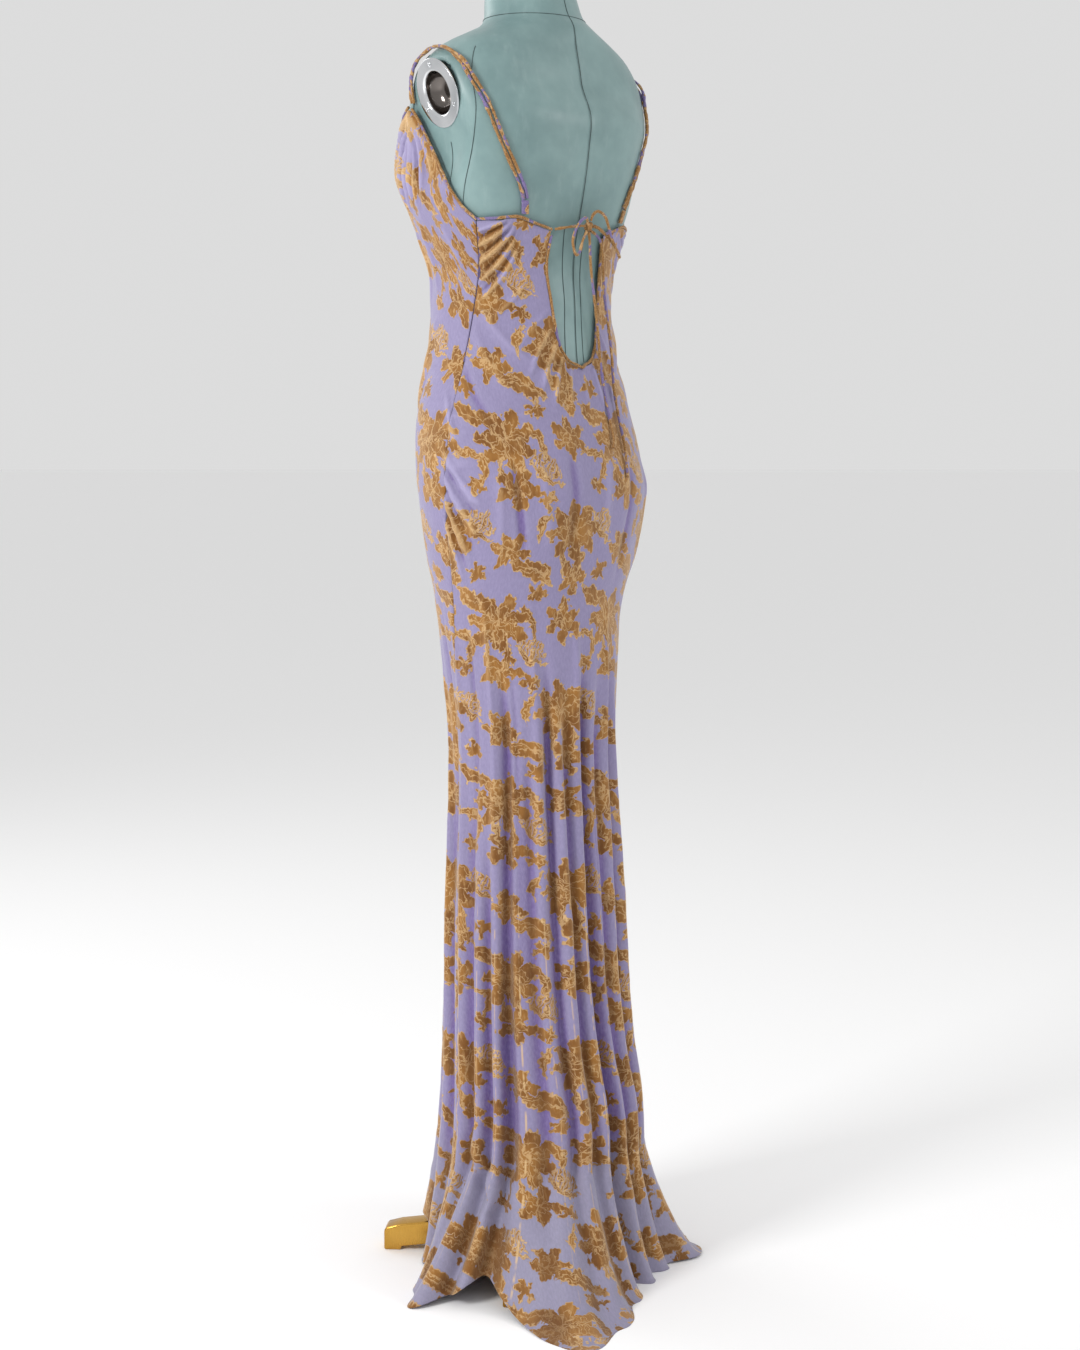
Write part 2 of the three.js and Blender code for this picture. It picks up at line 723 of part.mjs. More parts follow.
// A place on a panel's edge, with the panel's normal there
function edgePlace(panel, u, s) {
  return { point: panelPoint(panel, u, s), normal: panelNormal(panel, u, s) };
}

function trimLine(points, startTrim, endTrim) {
  const trimmed = points.map((point) => point.clone());
  const last = trimmed.length - 1;
  trimmed[0].addScaledVector(points[1].clone().sub(points[0]).normalize(), startTrim);
  trimmed[last].addScaledVector(points[last - 1].clone().sub(points[last]).normalize(), endTrim);
  return trimmed;
}

// A binding along a panel's edge, through the panel's own edge points
function binding(line, startTrim, endTrim) {
  const points = trimLine(offsetLine(line, BINDING_RADIUS + BINDING_REST), startTrim, endTrim);
  return tube(new EdgePath(points), BINDING_RADIUS, BINDING_SIDES, points.length - 1);
}

function topLine(panel, columns, from, to) {
  const line = [];
  for (let column = from; column <= to; column += 1) line.push(edgePlace(panel, column / columns, 2));
  return line;
}

function zipStrip() {
  const cloth = new ClothWall();
  const rows = BODICE_ROWS;
  rows.forEach((v) => {
    const z = lerp(KEYHOLE_FOOT, BACK_TOP[BACK_TOP.length - 1].z, v);
    const seam = readTable(SIDE_SEAM, 'z', z).t;
    const half = (ZIP_WIDTH / 2) * degreesPerMillimetre(seam, z);
    for (const t of [seam - half, seam + half]) {
      const point = hullPoint(t, z);
      const across = hullPoint(t + 1, z).sub(hullPoint(t - 1, z));
      const up = hullPoint(t, z + 1).sub(hullPoint(t, z - 1));
      cloth.addPoint(point, up.cross(across).normalize());
    }
  });
  for (let row = 0; row < rows.length - 1; row += 1) {
    const a = 2 * row;
    cloth.addQuad(a, a + 2, a + 3, a + 1);
  }
  return cloth.geometry();
}

// The keyhole's binding runs down the right wing's edge, round the foot and up the left wing's edge
function keyholeBinding() {
  const rows = BODICE_ROWS.map((v) => 1 + v);
  const right = [...rows].reverse().map((s) => edgePlace(RIGHT_WING, 0.5, s));
  const left = rows.map((s) => edgePlace(LEFT_WING, 0.5, s));
  const line = [...right, edgePlace(RIGHT_WING, 0.5, 1), ...left];
  return binding(line, BINDING_TRIMS.keyhole, BINDING_TRIMS.keyhole);
}

function skirtLining() {
  const cloth = new ClothWall(LINING.wall);
  LINING_RINGS.forEach((row) => {
    const hull = readTable(SKIRT_RINGS, 'z', row.z);
    for (let column = 0; column < LINING.columns; column += 1) {
      const t = (360 * column) / LINING.columns;
      const point = sectionPoint(hull, t, -row.inset).setZ(row.z);
      cloth.addPoint(point, polar(t, 1));
    }
  });
  for (let row = 0; row < LINING_RINGS.length - 1; row += 1) {
    for (let column = 0; column < LINING.columns; column += 1) {
      const next = (column + 1) % LINING.columns;
      const low = row * LINING.columns;
      const high = low + LINING.columns;
      cloth.addQuad(low + column, high + column, high + next, low + next);
    }
  }
  return cloth.geometry();
}

// Normal of the form itself, for what lies on it
function formNormal(t, z) {
  const across = formPoint(t + 0.5, z).sub(formPoint(t - 0.5, z));
  const up = formPoint(t, z + 1).sub(formPoint(t, z - 1));
  return up.cross(across).normalize();
}

// The two cords of a strap, side by side and once crossed
function strapCord(side, cord) {
  const middle = new THREE.CatmullRomCurve3(STRAP_ROUTE.map((row) => {
    const normal = formNormal(row.t, row.z);
    return formPoint(row.t, row.z).addScaledVector(normal, CORD_RADIUS + CORD_REST + row.lift);
  }));
  const normals = new THREE.CatmullRomCurve3(STRAP_ROUTE.map((row) => formNormal(row.t, row.z)));
  const points = [];
  for (let step = 0; step <= STRAP_STEPS; step += 1) {
    const share = step / STRAP_STEPS;
    const normal = normals.getPoint(share).normalize();
    const across = middle.getTangent(share).cross(normal).normalize();
    const turn = Math.PI * smoothstep(share, STRAP_TWIST.start, STRAP_TWIST.end);
    const half = PAIR_SPACING / 2;
    const point = middle.getPoint(share)
      .addScaledVector(across, cord * half * Math.cos(turn))
      .addScaledVector(normal, cord * half * Math.sin(turn) + half * Math.sin(turn));
    point.x *= side;
    points.push(point);
  }
  return tube(new EdgePath(points), CORD_RADIUS, CORD_SIDES, STRAP_STEPS);
}

function strapTab(side) {
  const cloth = new ClothWall(TAB.thick);
  for (const z of [TAB.low, TAB.high]) {
    const half = TAB.halfWidth * degreesPerMillimetre(TAB.t, z);
    for (const t of [side * TAB.t - half, side * TAB.t + half]) {
      cloth.addPoint(formPoint(t, z, TAB.ease), formNormal(t, z));
    }
  }
  cloth.addQuad(0, 2, 3, 1);
  return cloth.geometry();
}

// Merged, closed and facing out
function solid(geometry) {
  const bare = geometry.clone();
  for (const name of Object.keys(bare.attributes)) if (name !== 'position') bare.deleteAttribute(name);
  const merged = mergeVertices(bare, 1e-4);
  const index = Array.from(merged.index.array);
  const position = merged.attributes.position;
  const corner = (place) => new THREE.Vector3().fromBufferAttribute(position, index[place]);
  let volume = 0;
  const kept = [];
  for (let place = 0; place < index.length; place += 3) {
    const [a, b, c] = [index[place], index[place + 1], index[place + 2]];
    if (a === b || b === c || a === c) continue;
    volume += corner(place).dot(corner(place + 1).cross(corner(place + 2)));
    kept.push(a, b, c);
  }
  if (volume < 0) kept.reverse();
  merged.setIndex(kept);
  return merged;
}

const wasm = await Module();
wasm.setup();

function toManifold(geometry) {
  const merged = solid(geometry);
  return new wasm.Manifold(new wasm.Mesh({
    numProp: 3,
    vertProperties: Float32Array.from(merged.attributes.position.array),
    triVerts: Uint32Array.from(merged.index.array),
  }));
}

function fromManifold(body) {
  const { vertProperties, triVerts } = body.getMesh();
  const geometry = new THREE.BufferGeometry();
  geometry.setAttribute('position', new THREE.Float32BufferAttribute(vertProperties, 3));
  geometry.setIndex(Array.from(triVerts));
  return geometry;
}

// A turned shape on the arm plate's axis
function plateTurning(profile, side) {
  const points = profile.map((row) => new THREE.Vector2(row.radius, row.height));
  const turned = new THREE.LatheGeometry(points, 20);
  const [x, y, z] = ARM_PLATE.normal;
  const axis = new THREE.Vector3(side * x, y, z).normalize();
  const turn = new THREE.Quaternion().setFromUnitVectors(new THREE.Vector3(0, 1, 0), axis);
  turned.applyQuaternion(turn);
  turned.translate(side * ARM_PLATE.x, ARM_PLATE.y, ARM_PLATE.z);
  return turned;
}

function plateSeat(side) {
  const outside = PLATE_PROFILE.slice(0, 6).map((row, index) => ({
    radius: index ? row.radius + ARM_PLATE.clearance : 0,
    height: row.height - ARM_PLATE.clearance,
  }));
  const rim = outside[outside.length - 1].radius;
  const outer = [{ radius: rim, height: SEAT_HEIGHT }, { radius: 0, height: SEAT_HEIGHT }];
  return plateTurning([...outside, ...outer], side);
}

function torso() {
  const rings = TORSO_ROWS.map((z) => {
    const ring = [];
    for (let column = 0; column < TORSO_COLUMNS; column += 1) {
      ring.push(formPoint((360 * column) / TORSO_COLUMNS, z));
    }
    return ring;
  });
  let body = toManifold(loft(rings));
  for (const side of [1, -1]) body = body.subtract(toManifold(plateSeat(side)));
  return fromManifold(body);
}

function neckCap() {
  const neck = BODY_RINGS[BODY_RINGS.length - 1];
  return loft(CAP_RINGS.map((row) => {
    const ring = [];
    for (let column = 0; column < TORSO_COLUMNS; column += 1) {
      const point = sectionPoint(neck, (360 * column) / TORSO_COLUMNS, 0);
      const y = neck.middle + (point.y - neck.middle) * row.share;
      ring.push(new THREE.Vector3(point.x * row.share, y, row.z));
    }
    return ring;
  }));
}

// Stand
function upright(radiusLow, radiusHigh, low, high, sides, turn = 0) {
  const post = new THREE.CylinderGeometry(radiusHigh, radiusLow, high - low, sides);
  post.rotateY(turn);
  post.rotateX(Math.PI / 2);
  post.translate(0, 0, (low + high) / 2);
  return post;
}

// An eight-sided hub with a flat facing each leg, and a round collar for the pole
function baseHub() {
  const flatTurn = THREE.MathUtils.degToRad(180 / HUB.sides - LEG_ANGLES.back_left);
  const block = upright(HUB.radius, HUB.radius, HUB.bottom, HUB.shoulder, HUB.sides, flatTurn);
  const collarTop = HUB.collarRadius - HUB.collarTaper;
  const collar = upright(HUB.collarRadius, collarTop, HUB.shoulder - HUB.sink, HUB.top, 24);
  return fromManifold(toManifold(block).add(toManifold(collar)));
}

function leg(t) {
  const along = polar(t, 1);
  const across = polar(t - 90, 1);
  const { halfWidth, chamfer } = LEG;
  return loft(LEG_SECTIONS.map((row) => {
    const outline = [
      [-halfWidth, row.bottom],
      [-halfWidth, row.top - chamfer],
      [chamfer - halfWidth, row.top],
      [halfWidth - chamfer, row.top],
      [halfWidth, row.top - chamfer],
      [halfWidth, row.bottom],
    ];
    return outline.map(([side, z]) => along.clone().multiplyScalar(LEG.tip - row.fromTip)
      .addScaledVector(across, side).setZ(z));
  }));
}

function bowCord({ points, steps }) {
  const route = new THREE.CatmullRomCurve3(points.map(([x, y, z]) => new THREE.Vector3(x, y, z)));
  return tube(route, TIE_RADIUS, CORD_SIDES, steps);
}

function bowKnot() {
  const knot = new THREE.SphereGeometry(KNOT.radius, KNOT.steps, KNOT.steps - 3);
  knot.translate(KNOT.x, KNOT.y, KNOT.z);
  return knot;
}

// Assembly
const dress = new THREE.Group();
const form = new THREE.Group();
const model = new THREE.Group();
model.add(dress, form);

function addPiece(group, name, geometry, material) {
  const mesh = new THREE.Mesh(solid(geometry), material);
  mesh.name = name;
  group.add(mesh);
}

addPiece(dress, 'front_panel', frontPanel(), materials.velvet);
addPiece(dress, 'back_panel', backPanel(), materials.velvet);
addPiece(dress, 'lining_skirt', skirtLining(), materials.lining);
addPiece(dress, 'side_zip', zipStrip(), materials.zip);

const frontLine = (from, to) => topLine(FRONT_PANEL, FRONT_COLUMNS, from, to);
const backLine = (wing, from, to) => topLine(wing, BACK_COLUMNS, from, to);
const rightPeak = FRONT_COLUMNS - STRAP_COLUMN;
const slit = BACK_COLUMNS / 2;
const { seam, strap, rightSeam } = BINDING_TRIMS;
const BINDINGS = {
  armhole_binding_left: [frontLine(0, STRAP_COLUMN), seam, strap],
  neckline_binding: [frontLine(STRAP_COLUMN, rightPeak), strap, strap],
  armhole_binding_right: [frontLine(rightPeak, FRONT_COLUMNS), strap, rightSeam],
  back_top_binding_right: [backLine(RIGHT_WING, 0, slit), rightSeam, seam],
  back_top_binding_left: [backLine(LEFT_WING, slit, BACK_COLUMNS), seam, seam],
};
for (const [name, [line, startTrim, endTrim]] of Object.entries(BINDINGS)) {
  addPiece(dress, name, binding(line, startTrim, endTrim), materials.velvet);
}
addPiece(dress, 'keyhole_binding', keyholeBinding(), materials.velvet);

for (const [name, side] of [['left', 1], ['right', -1]]) {
  addPiece(dress, `strap_tab_${name}`, strapTab(side), materials.velvet);
  addPiece(dress, `strap_${name}_a`, strapCord(side, 1), materials.velvet);
  addPiece(dress, `strap_${name}_b`, strapCord(side, -1), materials.velvet);
}
for (const [name, cord] of Object.entries(BOW_CORDS)) addPiece(dress, name, bowCord(cord), materials.velvet);
addPiece(dress, 'tie_knot', bowKnot(), materials.velvet);

addPiece(form, 'form_torso', torso(), materials.leather);
addPiece(form, 'neck_cap', neckCap(), materials.leather);
addPiece(form, 'arm_plate_left', plateTurning(PLATE_PROFILE, 1), materials.plate);
addPiece(form, 'arm_plate_right', plateTurning(PLATE_PROFILE, -1), materials.plate);
const poleSpan = [HUB.top + SEAM_GAP, FORM_BOTTOM - SEAM_GAP];
addPiece(form, 'pole', upright(POLE_RADIUS, POLE_RADIUS, ...poleSpan, 20), materials.brass);
addPiece(form, 'base_hub', baseHub(), materials.brass);
for (const [name, t] of Object.entries(LEG_ANGLES)) addPiece(form, `leg_${name}`, leg(t), materials.brass);

// The origin is under the middle of the whole part
const box = new THREE.Box3().setFromObject(model);
const middlePoint = box.getCenter(new THREE.Vector3());
model.position.set(-middlePoint.x, -middlePoint.y, 0);

export default model;
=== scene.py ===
"""Maxi dress of burnt-out velvet on a limbless dress form with a pole and a cross base.

Tables are in millimetres about the stand's pole, and every mesh is in metres in the part's frame.
An angle t turns from the centre back (0) towards the wearer's left (90) and on to the centre front (180).
"""
import logging
import math
from dataclasses import dataclass
from enum import Enum
from typing import ClassVar, Iterable, Sequence

import bmesh
import bpy
import numpy as np
from mathutils import Matrix, Vector, noise


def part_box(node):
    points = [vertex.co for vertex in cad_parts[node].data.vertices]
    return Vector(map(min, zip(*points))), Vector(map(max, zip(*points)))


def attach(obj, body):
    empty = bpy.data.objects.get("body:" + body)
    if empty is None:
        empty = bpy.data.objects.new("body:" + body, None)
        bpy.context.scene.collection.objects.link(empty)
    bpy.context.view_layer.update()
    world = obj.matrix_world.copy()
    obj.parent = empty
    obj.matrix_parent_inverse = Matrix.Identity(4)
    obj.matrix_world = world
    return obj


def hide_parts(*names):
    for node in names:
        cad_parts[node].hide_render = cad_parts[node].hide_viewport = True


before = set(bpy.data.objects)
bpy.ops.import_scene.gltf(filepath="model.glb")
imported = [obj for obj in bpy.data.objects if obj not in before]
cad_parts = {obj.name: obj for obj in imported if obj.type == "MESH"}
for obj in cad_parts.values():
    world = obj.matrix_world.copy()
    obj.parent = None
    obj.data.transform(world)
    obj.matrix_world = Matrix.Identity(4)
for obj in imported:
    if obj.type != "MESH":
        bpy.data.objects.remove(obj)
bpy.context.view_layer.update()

MM = 0.001
BODY = "root"
log = logging.getLogger("maxi_dress")

Array = np.ndarray
Point = tuple[float, float, float]
Color = tuple[float, float, float, float]
Socket = bpy.types.NodeSocket
Finish = bpy.types.Material
Piece = bpy.types.Object
Work = bmesh.types.BMesh


def pole_axis() -> Array:
    """Returns where the pole stands in the part's frame, in metres, at floor height."""
    low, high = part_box("pole")
    return np.array([(low[0] + high[0]) / 2, (low[1] + high[1]) / 2, 0.0])


AXIS = pole_axis()


def smoothstep(value: Array, low: float, high: float) -> Array:
    """Returns 0 below low, 1 above high and a smooth rise between them."""
    share = np.clip((value - low) / (high - low), 0, 1)
    return share * share * (3 - 2 * share)


class Table:
    """Rows of named columns, read as a smooth curve along the first column."""

    def __init__(self, columns: str, rows: Sequence[Sequence[float]]) -> None:
        """Keeps the rows.

        Args:
            columns: Names of the columns, parted by spaces. The first is the key.
            rows: One row for each section, fold or crease.
        """
        self.names = columns.split()
        self.data = np.array(rows, dtype=float)

    def column(self, name: str) -> Array:
        """Returns one column."""
        return self.data[:, self.names.index(name)]

    def read(self, name: str, key: Array) -> Array:
        """Reads a column along the smooth curve.

        Args:
            name: The column.
            key: Values of the first column.

        Returns:
            The column's values there.
        """
        keys, values = self.data[:, 0], self.column(name)
        last = len(keys) - 1
        key = np.asarray(key, dtype=float)
        start = np.clip(np.searchsorted(keys, key, side="left") - 1, 0, last - 1)
        end, before, after = start + 1, np.maximum(start - 1, 0), np.minimum(start + 2, last)
        span = keys[end] - keys[start]
        s = np.clip((key - keys[start]) / span, 0, 1)
        start_slope = (values[end] - values[before]) / (keys[end] - keys[before]) * span
        end_slope = (values[after] - values[start]) / (keys[after] - keys[start]) * span
        curve = (start_slope * (1 - s) ** 2 - end_slope * s * (1 - s)) * s
        return values[start] + (values[end] - values[start]) * s * s * (3 - 2 * s) + curve


WALL = 1.6
AIR = 3.2
SEAM_GAP = 0.3
ZIP_GAP = 1.3
FORM_BOTTOM = 858.0
HEM_ROLL = 160.0
KEYHOLE_FOOT = 1178.0
SKIRT_BLEND = (870.0, 935.0)
FOLD_GROWTH = 160.0
KNEE = 700.0
FOLD_SHARPNESS = 1.4
FOLD_GATHER = (840.0, 930.0)
HEM_SLOPE = 1.1
BINDING_RADIUS = 2.0
BINDING_REST = 0.45
CORD_RADIUS = 2.3
TIE_RADIUS = 2.1
CORD_REST = 0.6
PAIR_SPACING = 5.2
SWELL_FACING = 1.6
STRAP_SHARE = 8 / 36

BODY_RINGS = Table("z half_width half_depth middle square", [
    [858, 124, 92, 4, 2.05],
    [913, 138, 106, 5, 2.05],
    [952, 147, 111, 6, 2.05],
    [991, 155, 114, 7.6, 2.05],
    [1029, 161, 115.5, 7.6, 2.05],
    [1068, 160, 114, 2, 2.05],
    [1107, 154, 110.5, -3.7, 2.05],
    [1145, 145, 106, -8, 2.05],
    [1184, 133, 99, -10.5, 2.05],
    [1222, 126, 96, -11, 2.05],
    [1260, 122, 94.5, -11, 2.05],
    [1298, 121, 90, -9, 2.2],
    [1336, 130, 93, -8, 2.3],
    [1374, 144, 98, -4, 2.4],
    [1411, 153, 104, -2, 2.4],
    [1449, 160, 107, 1, 2.4],
    [1486, 168, 107, 4, 2.4],
    [1523, 170, 93, 3, 2.5],
    [1543, 163, 87, 5, 2.5],
    [1561, 151, 79, 9, 2.4],
    [1575, 135, 72, 13, 2.3],
    [1589, 106, 66, 17, 2.2],
    [1601, 80, 63, 17, 2.1],
    [1614, 66, 60, 11, 2.05],
    [1635, 61, 57.5, 6, 2],
    [1655, 57, 55.5, 3, 2],
    [1712, 55, 54, 0, 2],
])
BODY_SWELLS = Table("x z spread rise height facing", [
    [76, 1430, 62, 70, 48, -1],
    [70, 1010, 62, 70, 6, 1],
])
SKIRT_RINGS = Table("z half_width half_depth middle", [
    [160, 144, 136, 22],
    [229, 140, 130, 24],
    [311, 133, 121, 17.5],
    [393, 129, 114.6, 14],
    [474, 127, 110.5, 13.3],
    [555, 123, 106, 12],
    [636, 119, 101, 10.5],
    [715, 118, 99, 9],
    [795, 124, 103, 4.8],
    [834, 128.5, 104, 3],
    [873, 133.5, 106, 2.5],
    [913, 142.5, 109.5, 4.8],
    [960, 153, 116, 6],
])
SIDE_SEAM = Table("z t", [
    [0, 95],
    [160, 95],
    [400, 97],
    [725, 97],
    [875, 90],
    [1029, 84],
    [1111, 78],
    [1203, 72],
    [1267, 68],
    [1355, 65],
    [1500, 65],
])
BACK_FOLDS = Table("knee hem top knee_depth hem_depth", [
    [-78, -84, 760, 8, 16],
    [-60, -68, 835, 10, 18],
    [-42, -52, 780, 8, 16],
    [-25, -30, 845, 12, 22],
    [-11, -18, 830, 9, 14],
    [3, -4, 848, 15, 26],
    [17, 10, 820, 9, 14],
    [30, 23, 848, 12, 14],
    [44, 39, 760, 8, 10],
    [59, 63, 845, 11, 26],
    [72, 75, 640, 5, 20],
    [86, 88, 700, 6, 16],
])
FRONT_FOLDS = Table("knee hem top knee_depth hem_depth", [
    [112, 108, 720, 6, 14],
    [128, 124, 820, 9, 16],
    [148, 154, 760, 7, 18],
    [165, 169, 840, 11, 15],
    [182, 184, 800, 8, 13],
    [199, 199, 845, 12, 16],
    [214, 214, 780, 8, 13],
    [232, 244, 830, 10, 18],
    [248, 256, 720, 6, 12],
])
HEM = Table("t reach lift settle", [
    [-180, 165, 0, 1.2],
    [-155, 156, 4, 1.2],
    [-130, 150, 52, 1.1],
    [-108, 172, 0, 1.2],
    [-85, 186, 0, 1.2],
    [-66, 205, 0, 1.3],
    [-50, 237, 3, 1.75],
    [-42, 233, 3, 1.5],
    [-33, 224, 3, 1.4],
    [-24, 196, 0, 1.2],
    [-12, 198, 0, 1.4],
    [2, 216, 0, 1.5],
    [16, 270, 0, 1.7],
    [25, 312, 0, 1.9],
    [33, 334, 0, 1.9],
    [40, 310, 1, 1.7],
    [47, 250, 5, 1.4],
    [55, 212, 22, 1.2],
    [63, 206, 34, 1.1],
    [73, 222, 14, 1.2],
    [84, 246, 0, 1.15],
    [95, 192, 0, 1.15],
    [107, 158, 0, 1.2],
    [120, 148, 10, 1.2],
    [130, 145, 46, 1.1],
    [140, 143, 54, 1.1],
    [150, 147, 46, 1.1],
    [162, 156, 6, 1.2],
    [180, 165, 0, 1.2],
])
KEYHOLE = Table("z half_width", [
    [1178, 0],
    [1184, 18],
    [1192, 26],
    [1206, 33],
    [1232, 38.5],
    [1270, 44],
    [1302, 48],
    [1330, 47],
    [1374, 42],
])
BACK_TOP = Table("w z", [
    [0, 1345],
    [0.25, 1352],
    [0.45, 1358],
    [0.7, 1356],
    [1, 1355],
])
FRONT_TOP = Table("w z", [
    [0, 1355],
    [0.04, 1370],
    [0.07, 1389],
    [0.1, 1409],
    [0.135, 1435],
    [0.165, 1459],
    [0.191, 1480],
    [0.2222, 1496],
    [0.25, 1491],
    [0.3, 1476],
    [0.36, 1456],
    [0.42, 1434],
    [0.46, 1421],
    [0.5, 1416],
])
STRAP_ROUTE = Table("step z t lift", [
    [0, 1382.2, 32.6, 0],
    [1, 1394, 34.2, 0],
    [2, 1409, 37.4, 0],
    [3, 1437, 43.8, 0],
    [4, 1463, 49, 0],
    [5, 1486, 52.8, 0],
    [6, 1510, 56.6, 0],
    [7, 1533, 63.5, 0],
    [8, 1549, 75, 0.4],
    [9, 1560, 90, 1],
    [10, 1562, 102, 2],
    [11, 1558, 110, 3.6],
    [12, 1549, 114.5, 4.6],
    [13, 1534, 117, 2.2],
    [14, 1518, 117.2, 0.8],
    [15, 1504, 116.3, 0.6],
])

